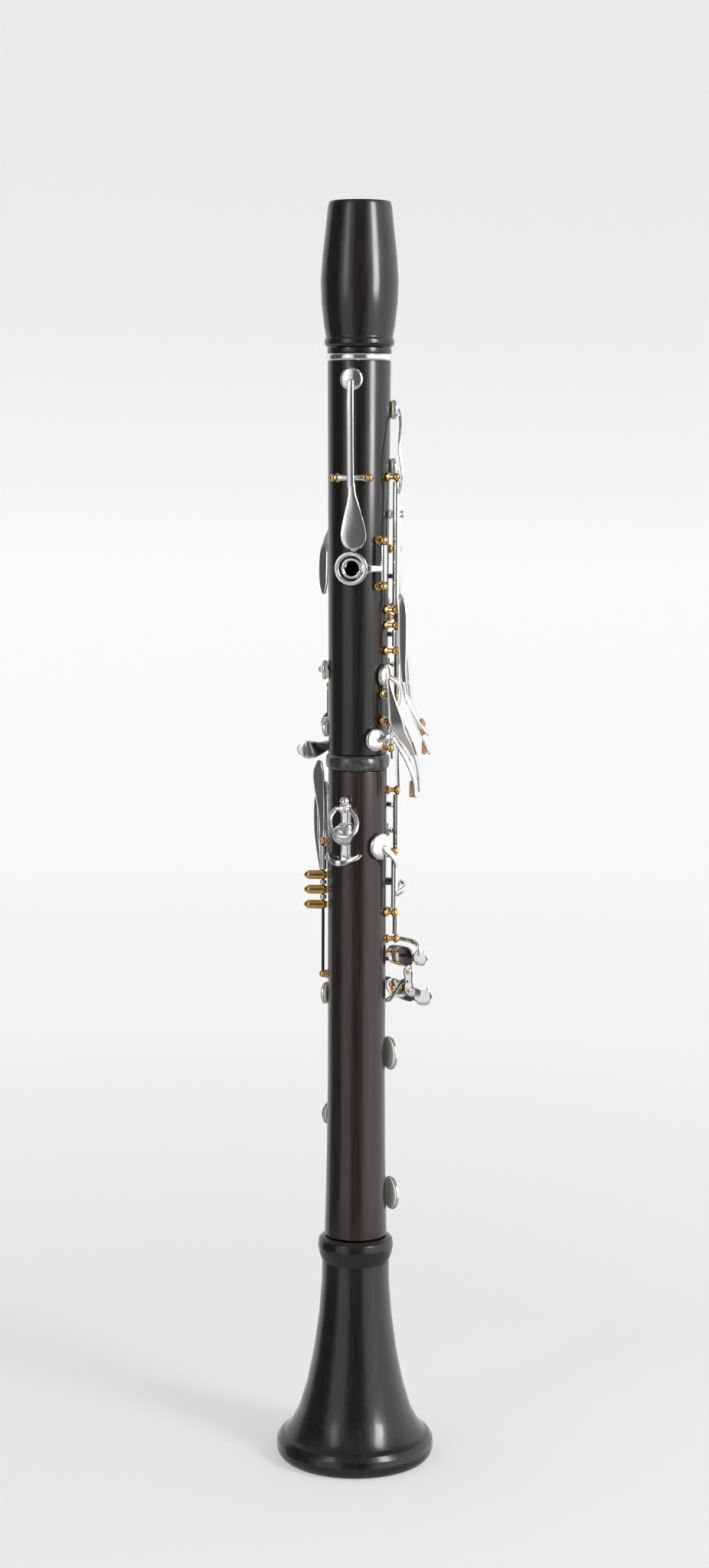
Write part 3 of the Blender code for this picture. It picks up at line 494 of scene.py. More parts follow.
def hinge_tube(angle, axle_radius, low, high):
    """A key's hinge tube between two posts, and the cutter for its bore."""
    inset = BALL + GAP
    start = polar(angle, axle_radius, low + inset)
    end = polar(angle, axle_radius, high - inset)
    lift = Vector((0, 0, 1.0))
    return rod(start, end, TUBE), rod(start - lift, end + lift, TUBE_BORE)



def cup(angle, height, radius, hollow=False, lift=0.0, tilt_about=None, tilt=0.0):
    """A pad cup: a thin spun rim, a low cone and a small centre point."""
    seat = body_radius(height) + GAP + lift
    rim = seat + 0.9
    roof = seat + 1.7
    top = seat + 3.2
    profile = [(0, top), (radius * 0.3, top - 0.08), (radius * 0.6, top - 0.3), (radius * 0.86, top - 0.68),
               (radius * 0.96, top - 1.0), (radius, top - 1.4), (radius, rim), (radius - GAP, rim),
               (radius - GAP, roof), (0, roof)]
    made = turned(profile, Vector((0, 0, height)), radial(angle), soft=0.25)
    tilted(made, tilt_about, tilt)
    if not hollow:
        SMALL_PADS.append(pad_shape(angle, height, radius, lift, tilt_about, tilt))
    return made


def pad_shape(angle, height, radius, lift, tilt_about, tilt):
    seat = body_radius(height) + GAP + lift
    edge = radius - 1.6 * GAP
    made = turned([(0, seat + 1.6), (edge, seat + 1.6), (edge, seat + 0.05), (edge * 0.8, seat - 0.1),
                   (0, seat)],
                  Vector((0, 0, height)), radial(angle), soft=0.4)
    tilted(made, tilt_about, tilt)
    return made


def pad(name, angle, height, radius, lift=0.0, tilt_about=None, tilt=0.0):
    part(name, PAD, [pad_shape(angle, height, radius, lift, tilt_about, tilt)])


def tilted(shape, about, degrees):
    """Turns a shape about an upright axis, to stand it open with its key."""
    if about is None:
        return
    centre = Matrix.Translation(about * MM)
    turn = centre @ Matrix.Rotation(math.radians(degrees), 4, "Z") @ centre.inverted()
    bmesh.ops.transform(shape, matrix=turn, verts=shape.verts)


def finger_ring(angle, height, low, high, inner, outer):
    """A ring that a finger closes onto its tone hole."""
    profile = [(outer - 0.3, high), (outer, high - 0.35), (outer - 0.1, low + 0.3), (outer - 0.5, low),
               (inner, low), (inner, high - 0.4), (inner + 0.35, high)]
    return turned(profile, Vector((0, 0, height)), radial(angle), RING_SIDES, ring=True, soft=0.4)


SMALL_PADS = []             # pads of the cups made since the last key was finished


def wire_loop(points, radius, sides=20):
    """A round wire along a closed smooth route."""
    count = len(points)
    route = []
    for i in range(count):
        a, b, c, d = (points[(i + k) % count] for k in (-1, 0, 1, 2))
        for k in range(4):
            t = k / 4
            route.append(0.5 * (b * 2 + (c - a) * t + (a * 2 - b * 5 + c * 4 - d) * t ** 2
                                + (b * 3 - a - c * 3 + d) * t ** 3))
    middle = sum(route, Vector()) / len(route)
    shape = bmesh.new()
    rings = []
    for i, point in enumerate(route):
        along = (route[(i + 1) % len(route)] - route[i - 1]).normalized()
        out = point - middle
        out = (out - along * out.dot(along)).normalized()
        side = along.cross(out)
        rings.append([shape.verts.new((point + (out * math.cos(2 * math.pi * k / sides)
                                                + side * math.sin(2 * math.pi * k / sides)) * radius) * MM)
                      for k in range(sides)])
    for i, low in enumerate(rings):
        high = rings[(i + 1) % len(rings)]
        for k in range(sides):
            shape.faces.new((low[k], low[(k + 1) % sides], high[(k + 1) % sides], high[k]))
    bmesh.ops.recalc_face_normals(shape, faces=shape.faces)
    return shape


def arc_arm(start, end, height, radii, half_width=1.3, half_thick=0.75, rise=0.0, steps=4):
    """An arm that runs round the body from one angle to another, through radii spread evenly along it."""
    stations = []
    for i in range(steps + 1):
        share = i / steps
        place = share * (len(radii) - 1)
        k = min(int(place), len(radii) - 2)
        radius = radii[k] + (radii[k + 1] - radii[k]) * (place - k)
        stations.append((polar(start + (end - start) * share, radius, height + rise * share), half_width,
                         half_thick))
    return blade(stations)


def polar_blade(*stations, out=None):
    """A forged arm through stations of (angle, radius, height, half width, half thickness)."""
    return blade([(polar(a, r, z), w, t) for a, r, z, w, t in stations], out)



# ---------------------------------------------------------------- wooden body

def hole(angle, height, radius):
    """The cutter of a tone hole from the bore outwards."""
    return rod(polar(angle, BORE - 2.0, height), polar(angle, 24.0, height), radius, 12)


def chimney(angle, height):
    """The raised seat round a ringed finger hole."""
    return rod(polar(angle, BORE + 4.3, height), polar(angle, body_radius(height) + 1.3, height), 4.2, 12)


def body_turning(profile):
    return turned(profile, sides=BODY_SIDES, ring=True)


def build_barrel():
    outside = [(14.0, BARREL_TOP), (14.6, 587.0), (15.7, 576.3), (17.0, 565.0), (17.8, 553.5), (17.4, 543.5),
               (16.2, 533.0), (15.3, 528.2), (16.0, 526.8), (16.0, 525.0), (14.9, BARREL_BOTTOM)]
    inside = [(SOCKET, BARREL_BOTTOM), (SOCKET, TENON_TOP + GAP), (BORE, TENON_TOP + GAP), (BORE, 572.0),
              (MOUTHPIECE_SOCKET, 572.0), (MOUTHPIECE_SOCKET, BARREL_TOP)]
    part("barrel", WOOD, [body_turning(outside + inside)])


def tenon(end, shoulder):
    """The outside of a tenon with its cork groove, listed from the end to the shoulder."""
    way = 1 if shoulder > end else -1
    return [(TENON, end), (TENON, end + way * 2.0), (TENON_CORE, end + way * 2.0),
            (TENON_CORE, shoulder - way * 2.5), (TENON, shoulder - way * 2.5), (TENON, shoulder)]


def cork(name, end, shoulder):
    way = 1 if shoulder > end else -1
    low, high = sorted((end + way * (2.0 + GAP), shoulder - way * (2.5 + GAP)))
    inner = TENON_CORE + GAP
    outer = SOCKET - GAP
    part(name, CORK, [body_turning([(outer, high), (outer, low), (inner, low), (inner, high)])])


def build_upper_joint():
    top = BARREL_BOTTOM - GAP
    groove = 14.3
    profile = tenon(TENON_TOP, top)
    profile += [(14.7, top), (14.7, RING_TOP + GAP), (groove, RING_TOP + GAP), (groove, RING_BOTTOM - GAP),
                (14.5, RING_BOTTOM - GAP), (13.9, 410.0), (13.6, UPPER_BOTTOM)]
    profile += list(reversed(tenon(MIDDLE_TENON_END, UPPER_BOTTOM)))
    profile += [(BORE, MIDDLE_TENON_END), (BORE, TENON_TOP)]
    ringed = [(180, L1_HEIGHT), (180, L2_HEIGHT)]
    holes = [hole(a, z, 3.2) for a, z in ringed] + [hole(180, L3_HEIGHT, 3.6),
                                                    hole(THUMB_ANGLE, THUMB_HEIGHT, 5.4)]
    part("upper_joint", WOOD, [body_turning(profile)] + [chimney(a, z) for a, z in ringed], holes)
    part("upper_joint_ring", SILVER, [body_turning([(14.9, RING_TOP), (15.3, 519.8), (15.3, 518.3),
         (14.9, RING_BOTTOM), (groove + GAP, RING_BOTTOM), (groove + GAP, RING_TOP)])])
    part("thumb_hole_tube", SILVER, [turned([(4.6, 16.6), (4.95, 16.2), (4.95, 8.4), (3.45, 8.4),
                                             (3.45, 16.2),
         (3.8, 16.6)], Vector((0, 0, THUMB_HEIGHT)), radial(THUMB_ANGLE), 14, ring=True)])
    cork("upper_tenon_cork", TENON_TOP, top)
    cork("middle_tenon_cork", MIDDLE_TENON_END, UPPER_BOTTOM)


def build_lower_joint():
    spigot = 12.4
    profile = [(spigot, COLLAR_TOP), (spigot, COLLAR_BOTTOM), (13.6, COLLAR_BOTTOM), (13.6, 257.0),
               (13.5, 184.0),
               (13.9, 147.0), (14.2, 129.0), (14.8, LOWER_BOTTOM + GAP)]
    profile += list(reversed(tenon(BELL_TENON_END, LOWER_BOTTOM + GAP)))
    profile += [(BORE + 1.0, BELL_TENON_END), (BORE, 200.0), (BORE, MIDDLE_TENON_END - GAP),
                (SOCKET, MIDDLE_TENON_END - GAP), (SOCKET, COLLAR_TOP)]
    ringed = [(180, height) for height in R_HEIGHTS]
    holes = [hole(a, z, 3.6) for a, z in ringed]
    holes += [hole(BIG_PAD_ANGLE, F_C_PAD, 5.6), hole(BIG_PAD_ANGLE, E_B_PAD, 6.0)]
    part("lower_joint", WOOD, [body_turning(profile)] + [chimney(a, z) for a, z in ringed], holes)
    inner = spigot + GAP
    part("collar_ring", COLLAR, [body_turning([(13.7, COLLAR_TOP), (14.6, 335.9), (14.9, 333.6),
                                               (14.6, 331.5),
         (13.8, COLLAR_BOTTOM + GAP), (inner, COLLAR_BOTTOM + GAP), (inner, COLLAR_TOP)])])
    cork("bell_tenon_cork", BELL_TENON_END, LOWER_BOTTOM + GAP)


def build_bell():
    outside = [(15.6, 107.6), (17.4, 106.0), (17.9, 102.9), (17.2, 99.0), (15.9, 95.5), (16.0, 86.0),
               (17.2, 70.0),
               (19.5, 52.5), (22.8, 36.0), (26.6, 23.0), (30.0, 16.2), (33.4, 11.8), (35.6, 10.6),
               (37.2, 8.2), (BELL_RADIUS, 5.5), (37.1, 2.6), (35.6, 0.4), (34.4, 0.0)]
    inside = [(30.0, 0.0), (29.6, 1.0), (24.5, 14.0), (19.5, 30.0), (15.5, 46.0), (12.2, 64.0), (10.2, 78.0),
              (9.4, BELL_TENON_END - GAP), (SOCKET, BELL_TENON_END - GAP), (SOCKET, 107.6)]
    part("bell", WOOD, [body_turning(outside + inside)])


# ---------------------------------------------------------------- keywork layout

THUMB_ANGLE = 4
THUMB_HEIGHT = 423.6
L1_HEIGHT = 419.0
L2_HEIGHT = 392.0
L3_HEIGHT = 366.0
R_HEIGHTS = (312.0, 288.0, 262.0)
BIG_PAD_ANGLE = 121
F_C_PAD = 194.3
E_B_PAD = 126.3
RING_LIFT = 1.3             # how far the vents of the ring keys stand off at rest
OPEN_TILT = 7.0             # how far an open-standing cup swings from its tone hole

REGISTER_LINE = (3, 16.4, 464.6)        # angle, distance out, height
THROAT_A_LINE = (178, 17.2, 452.0)
THUMB_LINE = (53, 18.5)                 # upright hinge lines: angle, distance out
RING_LINE = (115, 18.6)
LOWER_RING_LINE = (112, 18.4)
SIDE_LINE = (80, 19.0)
LOW_SIDE_LINE = (68, 19.0)
THROAT_GS_LINE = (235, 17.9)
CS_GS_LINE = (220, 18.0)
SLIVER_LINE = (242, 17.8)
LEFT_LEVER_LINE = (282, 15.9)
B_SLIVER_LINE = (89, 18.2)
F_C_LINE = (155, 17.8)
E_B_LINE = (175, 17.8)
FS_CS_LINE = (195, 17.8)
GS_DS_LINE = (225, 17.8)


def line_pivot(line, height):
    return polar(line[0], line[1], height)


def build_register_key():
    angle, out, height = REGISTER_LINE
    cross_axle("register_axle", angle, 27, 18.4, height)
    reach = 6.2
    ends = [beside(angle, side * reach, out, height) for side in (-1, 1)]
    bore_ends = [beside(angle, side * (reach + 1), out, height) for side in (-1, 1)]
    arm = polar_blade((3, 17.7, 461, 1.7, 0.9), (3, 18.2, 466, 1.6, 0.8), (2.7, 18.6, 482, 1.6, 0.8),
                      (2.5, 18.9, 500, 1.6, 0.8), (2.5, 18.1, 508, 1.4, 0.8))
    touch = polar_blade((3.5, 17.5, 463, 1.6, 0.9), (5, 18.0, 457, 1.9, 0.8), (6.5, 18.8, 449, 3.9, 0.7),
                        (8, 19.4, 439, 5.8, 0.7), (8.3, 19.3, 434, 4.4, 0.6), (8.4, 19.2, 432.5, 1.6, 0.5))
    part("register_key", SILVER, [rod(ends[0], ends[1], 1.5), arm, touch, cup(2.5, 508.9, 5.25, True)],
         [rod(bore_ends[0], bore_ends[1], TUBE_BORE)])
    pad("register_pad", 2.5, 508.9, 5.25)


def build_thumb_ring():
    axle("thumb_axle", *THUMB_LINE, (415.4, 436.4))
    tube, bore = hinge_tube(*THUMB_LINE, 415.4, 436.4)
    ring = finger_ring(THUMB_ANGLE, THUMB_HEIGHT, 17.0, 18.4, 5.7, 7.7)
    arm = blade([(beside(THUMB_ANGLE, a, d, THUMB_HEIGHT), w, 0.75) for a, d, w in
                 ((6.5, 17.6, 2.6), (9.0, 17.1, 1.7), (11.8, 15.2, 1.5), (13.5, 13.1, 1.6))])
    part("thumb_ring_key", SILVER, [tube, ring, arm], [bore])


def build_upper_rings():
    axle("upper_ring_axle", *RING_LINE, (352.0, 400.5, 432.0))
    for name, height, low, high, cup_place in (
            ("first_ring_key", L1_HEIGHT, 400.5, 432.0, (148, 405.8)),
            ("second_ring_key", L2_HEIGHT, 352.0, 400.5, (146, 378.0))):
        tube, bore = hinge_tube(*RING_LINE, low, high)
        ring = finger_ring(180, height, 16.6, 17.9, 5.2, 7.2)
        pieces = [tube, ring, arc_arm(115, 158, height, (18.9, 18.9, 18.4)),
                  cup(*cup_place, 3.9, lift=RING_LIFT),
                  arc_arm(115, 144, cup_place[1], (18.9, 19.2, 17.4 + RING_LIFT))]
        if name == "second_ring_key":
            pieces.append(polar_blade((117, 19.2, 361, 1.5, 0.8), (127, 18.6, 354, 1.6, 0.7),
                                      (128, 17.4, 345, 1.7, 0.5), (127, 17.0, 335, 1.7, 0.5)))
        part(name, SILVER, pieces, [bore])


def build_throat_keys():
    angle, out, height = THROAT_A_LINE
    cross_axle("throat_a_axle", angle, 20, 18.3, height)
    reach = 4.1
    tube = rod(beside(angle, -reach, out, height), beside(angle, reach, out, height), 1.5)
    bore = rod(beside(angle, -reach - 1, out, height), beside(angle, reach + 1, out, height), TUBE_BORE)
    arm = polar_blade((178, 17.8, 450, 1.6, 0.8), (178, 18.8, 458, 1.4, 0.8), (178, 18.9, 470, 1.4, 0.8),
                      (178, 17.9, 475, 1.3, 0.7))
    touch = polar_blade((178, 17.9, 453, 1.6, 0.8), (178, 18.9, 446, 2.4, 0.7), (178, 19.2, 438, 3.6, 0.7),
                        (178, 18.8, 432, 3.0, 0.6), (178, 18.6, 430, 1.4, 0.5))
    part("throat_a_key", SILVER, [tube, arm, touch, cup(178, 476, 4.7)], [bore])

    axle("throat_gs_axle", *THROAT_GS_LINE, (437.0, 470.0))
    tube, bore = hinge_tube(*THROAT_GS_LINE, 437.0, 470.0)
    touch = blade([(Vector(p), w, 0.6) for p, w in (
        ((-16.1, 10.9, 441), 1.4), ((-17.6, 8.0, 436), 1.8), ((-17.9, 5.0, 431), 2.4),
        ((-17.6, 3.0, 424), 2.7),
        ((-17.3, 2.2, 416), 2.4), ((-17.0, 1.8, 411.5), 1.2))], out=(-0.45, -0.9, 0))
    part("throat_gs_key", SILVER, [tube, touch, arc_arm(235, 216, 462, (18.3, 18.3, 17.6)),
                                   cup(213, 462, 4.5)],
         [bore])


SIDE_FACE = (0.2, -0.98, 0.0)


def side_web():
    """The broad flat web that stiffens the second side key beside its cup."""
    stations = ((17.2, -10.2, 371.5, 0.9), (18.0, -10.7, 368.0, 1.2), (19.4, -10.8, 361.0, 2.2),
                (21.0, -10.5, 353.5, 3.2), (23.4, -8.4, 347.0, 2.2), (25.6, -5.0, 342.0, 1.4),
                (26.9, -2.4, 338.0, 1.2))
    return blade([(Vector((x, y, z)), w, 0.6) for x, y, z, w in stations], out=SIDE_FACE)


TOUCH_TIPS = {"side_key_1": (84, 28.8, 320.5), "side_key_2": (97, 29.0, 322.5),
              "trill_key_1": (96, 33.0, 340.0), "trill_key_2": (87, 33.4, 349.5)}


def tip_cork(name):
    """The cork glued under a side key's touch, where it would knock on the body."""
    angle, out, height = TOUCH_TIPS[name]
    block = polar_blade((angle, out - 1.9, height - 1.6, 1.5, 1.1),
                        (angle, out - 1.9, height + 2.6, 1.6, 1.0),
                        (angle, out - 2.2, height + 4.2, 1.4, 0.6))
    piece(name + "_cork", CORK, [block], BODY_OF[name])


def build_side_keys():
    axle("side_axle", *SIDE_LINE, (385.5, 397.3, 404.4, 465.0))
    axle("low_side_axle", *LOW_SIDE_LINE, (341.0, 353.4, 365.6))
    keys = {
        "side_key_1": (LOW_SIDE_LINE, 341.0, 353.4, (47, 344.8, 5.25), [
            polar_blade((66, 19.8, 347, 1.5, 0.8), (58, 19.4, 346, 1.4, 0.8), (49, 17.4, 345, 1.3, 0.7)),
            polar_blade((69, 20.2, 346, 1.6, 0.8), (75, 22.8, 341, 1.8, 0.8), (80, 26.0, 334, 2.0, 0.8),
                        (83, 28.4, 326, 2.2, 0.8), (84, 28.8, 319, 1.8, 0.7))]),
        "side_key_2": (LOW_SIDE_LINE, 353.4, 365.6, (73, 373.9, 5.5), [
            polar_blade((70, 20.0, 358, 1.4, 0.8), (79, 20.9, 363, 1.4, 0.8), (81, 20.2, 370, 1.3, 0.8),
                        (75, 17.5, 373.5, 1.3, 0.7)),
            polar_blade((71, 20.2, 359, 2.0, 0.8), (79, 23.0, 350, 2.8, 0.9), (87, 26.6, 341, 2.3, 0.8),
                        (94, 28.6, 331, 2.2, 0.8), (97, 29.0, 321, 1.8, 0.7)), side_web()]),
        "trill_key_1": (SIDE_LINE, 385.5, 397.3, (112, 469.1, 4.65), [
            polar_blade((82, 20.0, 391, 1.5, 0.8), (92, 20.6, 396, 1.4, 0.8), (97, 19.4, 406, 1.4, 0.8),
                        (99, 18.7, 432, 1.4, 0.8), (104, 18.9, 458, 1.4, 0.8), (111, 17.9, 467, 1.3, 0.7)),
            polar_blade((83, 20.2, 391, 1.5, 0.8), (92, 23.0, 383, 1.7, 0.8), (94, 24.2, 370, 1.8, 0.8),
                        (95, 26.4, 356, 2.0, 0.8), (96, 31.0, 345, 2.4, 0.8), (96, 33.4, 338.5, 1.9, 0.7))]),
        "trill_key_2": (SIDE_LINE, 404.4, 465.0, (112, 495.6, 4.6), [
            polar_blade((80, 20.2, 458, 1.4, 0.8), (80, 22.0, 463, 1.4, 0.7), (80, 22.0, 468, 1.4, 0.7),
                        (82, 20.4, 478, 1.4, 0.8), (96, 19.4, 489, 1.4, 0.8), (110, 18.2, 495, 1.3, 0.7)),
            polar_blade((80, 20.2, 411, 1.6, 0.7), (77, 22.7, 405, 2.1, 0.7), (77, 23.0, 388, 2.1, 0.7),
                        (78, 23.2, 376, 1.5, 0.7), (80, 24.3, 366, 1.3, 0.7), out=SIDE_FACE),
            polar_blade((79, 23.6, 371, 1.4, 0.8), (81, 24.8, 364, 1.9, 0.8), (85, 29.6, 354, 2.3, 0.8),
                        (87, 33.9, 348, 1.9, 0.7))]),
    }
    for name, (line, low, high, (angle, height, radius), arms) in keys.items():
        tube, bore = hinge_tube(*line, low, high)
        part(name, SILVER, [tube, cup(angle, height, radius, True)] + arms, [bore])
        pad(name + "_pad", angle, height, radius)
        tip_cork(name)
    guide = [(0, 21.6), (1.4, 21.4), (1.7, 20.9), (1.7, 15.4), (2.3, 15.2), (2.3, 14.7), (0, 14.7)]
    part("trill_guide_post", SILVER, [turned(guide, Vector((0, 0, 448.0)), radial(92), POST_SIDES)])


def build_left_upper_keys():
    axle("cs_gs_axle", *CS_GS_LINE, (341.0, 386.5))
    tube, bore = hinge_tube(*CS_GS_LINE, 341.0, 386.5)
    touch = blade([(Vector(p), w, 0.7) for p, w in (
        ((-12.9, 15.0, 345.5), 1.6), ((-15.5, 13.6, 341), 1.8), ((-19.5, 8.5, 338.6), 2.8),
        ((-23.5, 5.0, 337.7), 4.1),
        ((-26.8, 4.2, 337.7), 4.0), ((-28.8, 4.0, 337.7), 2.4))], out=(-0.3, -1, 0))
    part("cs_gs_key", SILVER, [tube, touch, arc_arm(220, 282, 376.2, (18.4, 19.6, 19.6, 17.5), steps=5),
                               cup(285, 376.2, 4.65)], [bore])
    axle("sliver_axle", *SLIVER_LINE, (351.0, 368.0))
    tube, bore = hinge_tube(*SLIVER_LINE, 351.0, 368.0)
    touch = polar_blade((240, 18.8, 362, 1.4, 0.7), (232, 21.4, 368, 1.5, 0.7), (220, 22.2, 374, 1.6, 0.7),
                        (206, 20.6, 379, 2.0, 0.7), (199, 18.6, 380, 1.4, 0.7))
    part("sliver_key", SILVER, [tube, touch, arc_arm(242, 263, 355, (18.4, 18.6, 17.8), rise=-5),
                                cup(266, 348.5, 4.0)], [bore])


LEVER_FACE = (-0.6, -0.8, 0)


def build_left_levers():
    """Three little-finger levers on one rod that runs through three bullet-shaped posts."""
    angle, out = LEFT_LEVER_LINE
    bullets = [turned([(0, 25.2), (1.3, 24.2), (2.15, 22.6), (2.15, 15.4), (1.6, 14.6), (1.6, 13.9),
                       (0, 13.9)],
                      Vector((0, 0, height)), radial(angle), TUBE_SIDES) for height in (280.0, 273.1, 266.0)]
    ends = [post(angle, height, out) for height in (233.0, 296.0)]
    spine = rod(polar(angle, out, 233.0), polar(angle, out, 296.0), ROD, POST_SIDES)
    part("left_lever_axle", GOLD, bullets + ends)
    piece("left_lever_rod", "blued_steel", [spine], BODY_OF["left_lever_axle"])
    levers = {
        "left_lever_e": (282.6, 293.8, [((-16.4, -3.0, 288), 1.3), ((-17.4, 0.5, 294), 1.6),
                                        ((-17.6, 2.4, 302), 1.9),
                                        ((-18.4, 2.8, 312), 2.9), ((-19.5, 3.2, 321), 4.0),
                                        ((-19.9, 3.4, 327), 4.1),
                                        ((-19.4, 3.4, 331.6), 2.2)]),
        "left_lever_fs": (275.6, 277.5, [((-15.9, -2.0, 276.6), 0.8), ((-17.6, 3.0, 276.6), 0.8),
                                         ((-19.4, 6.4, 283), 1.3), ((-21.6, 7.2, 297), 1.6),
                                         ((-22.0, 7.4, 309), 1.7),
                                         ((-21.8, 7.4, 315), 1.2)]),
        "left_lever_f": (268.6, 270.6, [((-15.9, -2.0, 269.6), 0.8), ((-16.4, 5.0, 269.6), 0.8),
                                        ((-16.2, 9.6, 277), 1.3), ((-17.2, 11.0, 296), 1.6),
                                        ((-18.4, 11.4, 312), 2.6), ((-18.6, 11.4, 321), 1.8)]),
    }
    for name, (low, high, stations) in levers.items():
        tube = rod(polar(angle, out, low), polar(angle, out, high), 1.55)
        bore = rod(polar(angle, out, low - 1), polar(angle, out, high + 1), TUBE_BORE)
        lever = blade([(Vector(p), w, 0.7) for p, w in stations], out=LEVER_FACE)
        part(name, SILVER, [tube, lever], [bore])


def build_lower_rings():
    axle("lower_ring_axle", *LOWER_RING_LINE, (249.6, 320.0))
    tube, bore = hinge_tube(*LOWER_RING_LINE, 249.6, 320.0)
    pieces = [tube]
    for height in R_HEIGHTS:
        pieces.append(finger_ring(180, height, 16.3, 17.6, 5.2, 7.2))
        pieces.append(arc_arm(112, 158, height, (18.7, 18.7, 18.1)))
    pieces += [cup(146, 300, 3.9, lift=RING_LIFT), arc_arm(112, 142, 300, (18.7, 18.9, 17.0 + RING_LIFT))]
    pieces.append(polar_blade((115, 19.4, 312, 1.5, 0.8), (126, 20.6, 317, 1.6, 0.7),
                              (128, 20.4, 328, 1.8, 0.6),
                              (127, 20.0, 341, 1.8, 0.6)))
    part("lower_ring_key", SILVER, pieces, [bore])


def build_b_sliver():
    axle("b_sliver_axle", *B_SLIVER_LINE, (263.1, 292.2))
    tube, bore = hinge_tube(*B_SLIVER_LINE, 263.1, 292.2)
    arm = polar_blade((83, 19.4, 286, 1.5, 0.8), (74, 19.6, 290, 1.5, 0.8), (62, 17.4, 294.5, 1.4, 0.7))
    touch = polar_blade((87, 19.3, 272, 1.5, 0.8), (97, 21.8, 274, 1.5, 0.7), (112, 22.6, 275, 1.5, 0.7),
                        (130, 22.0, 275.6, 1.5, 0.7), (148, 19.8, 275, 1.9, 0.7), (156, 18.4, 275, 1.5, 0.7))
    part("b_sliver_key", SILVER, [tube, arm, touch, cup(60, 295, 6.2, True)], [bore])
    pad("b_sliver_pad", 60, 295, 6.2)


def touch_plate(inner, outer, height, half_height, tip_height=None):
    """A little-finger touch: a flat plate that slants from the front of the joint out to the right."""
    tip_height = height if tip_height is None else tip_height
    face = Vector((inner[1] - outer[1], outer[0] - inner[0], 0.0)).normalized()
    stations = []
    for share, fill in ((0.0, 0.55), (0.12, 0.9), (0.35, 1.0), (0.75, 1.0), (0.93, 0.75), (1.0, 0.4)):
        x, y = (inner[k] + (outer[k] - inner[k]) * share for k in (0, 1))
        z = height + (tip_height - height) * share
        stations.append((Vector((x, y, z)), half_height * fill, 0.7))
    return blade(stations, out=tuple(face))


FOOT_UNDER = Vector((-0.1, -0.99, 0.0))
FOOT_LOWER = Vector((24.9, 2.6, 226.2))
FOOT_UPPER = Vector((24.3, 2.6, 235.2))


def crows_foot():
    """The foot of the F/C key under the two touches beside it, with the two bosses that hold its adjusting
    screws.
    """
    foot = blade([(FOOT_LOWER + Vector((5.2, 0.4, -1.4)), 1.8, 0.6),
                  (FOOT_LOWER + Vector((2.6, 0, -0.9)), 2.2, 0.6),
                  (FOOT_LOWER, 2.7, 0.6), ((FOOT_LOWER + FOOT_UPPER) / 2, 2.0, 0.6), (FOOT_UPPER, 2.4, 0.6),
                  (FOOT_UPPER + Vector((0.9, 0, 2.0)), 1.4, 0.6)], out=tuple(FOOT_UNDER))
    bosses = [rod(place, place + FOOT_UNDER * 1.5, 1.7, CUP_SIDES) for place in (FOOT_LOWER, FOOT_UPPER)]
    return [foot] + bosses


def foot_details(body):
    """Slotted adjusting screws in the foot's two bosses."""
    for label, boss in (("lower", FOOT_LOWER), ("upper", FOOT_UPPER)):
        place = boss + FOOT_UNDER * 1.4
        dome = turned([(0, 0.4), (0.6, 0.35), (0.95, 0.15), (1.0, -0.4), (0, -0.4)], place, FOOT_UNDER,
                      soft=0.1)
        slot = rod(place + Vector((-1.4, -0.45, 0.9)), place + Vector((1.4, -0.45, -0.9)), 0.2, 8)
        piece("foot_screw_" + label, GOLD, [carved(dome, [], [slot])], body)


def build_little_finger_keys():
    """The four right-hand keys whose rods run down the front of the lower joint."""
    keys = {
        "f_c_key": (F_C_LINE, (186.0, 223.0), (BIG_PAD_ANGLE, F_C_PAD, 8.0),
                    [(8.3, 17.2, 218.2), (12.6, 13.0, 219.2), (16.4, 8.6, 224.0), (20.6, 4.6, 229.4),
                     (24.8, 2.5, 230.8)], touch_plate((27.9, 3.4), (34.8, 2.6), 223.2, 4.3, 224.0)),
        "e_b_key": (E_B_LINE, (116.5, 231.4), (BIG_PAD_ANGLE, E_B_PAD, 8.0),
                    [(2.0, 19.4, 228.3), (6.5, 20.9, 228.0), (11.5, 19.4, 227.4)],
                    touch_plate((9.8, 20.0), (26.4, 7.6), 224.6, 4.5, 223.2)),
        "fs_cs_key": (FS_CS_LINE, (154.0, 240.2), (250, 164.3, 5.5),
                      [(-4.2, 19.0, 236.6), (2.0, 21.2, 236.6), (11.5, 19.4, 237.6)],
                      touch_plate((9.8, 20.0), (25.2, 8.4), 239.8, 4.7, 240.6)),
        "gs_ds_key": (GS_DS_LINE, (214.0, 248.6), (268, 223.2, 5.3),
                      [(-12.3, 13.7, 244.4), (-5.0, 21.6, 245.0), (6.0, 22.8, 246.6), (17.0, 16.8, 247.8),
                       (24.2, 10.4, 248.0), (27.6, 7.8, 246.2), (28.2, 7.0, 242.4)],
                      touch_plate((26.2, 7.2), (31.8, 6.2), 241.0, 3.7)),
    }
    for name, (line, ends, (angle, height, radius), route, touch) in keys.items():
        axle(name[:-4] + "_axle", *line, ends)
        tube, bore = hinge_tube(*line, *ends)
        pivot = line_pivot(line, height)
        standing_open = radius > 7
        tilt = OPEN_TILT if standing_open else 0.0
        head = cup(angle, height, radius, standing_open, 0.0, pivot if standing_open else None, tilt)
        reach = 0.86 if standing_open else 0.9
        end = line[0] + (angle - line[0]) * reach
        crown = body_radius(height) + 3.0 + (0.1 * abs(angle - line[0]) ** 0.5 + 1.3 if standing_open else 0.0)
        arm = arc_arm(line[0], end, height, (18.4, 19.6, crown + 0.4), 1.6, 0.9)
        lever = blade([(Vector(point), 1.2, 0.75) for point in route])
        foot = crows_foot() if name == "f_c_key" else []
        part(name, SILVER, [tube, head, arm, lever, touch] + foot, [bore])
        if foot:
            foot_details(BODY_OF[name])
        if standing_open:
            pad(name[:-4] + "_pad", angle, height, radius, 0.0, pivot, tilt)


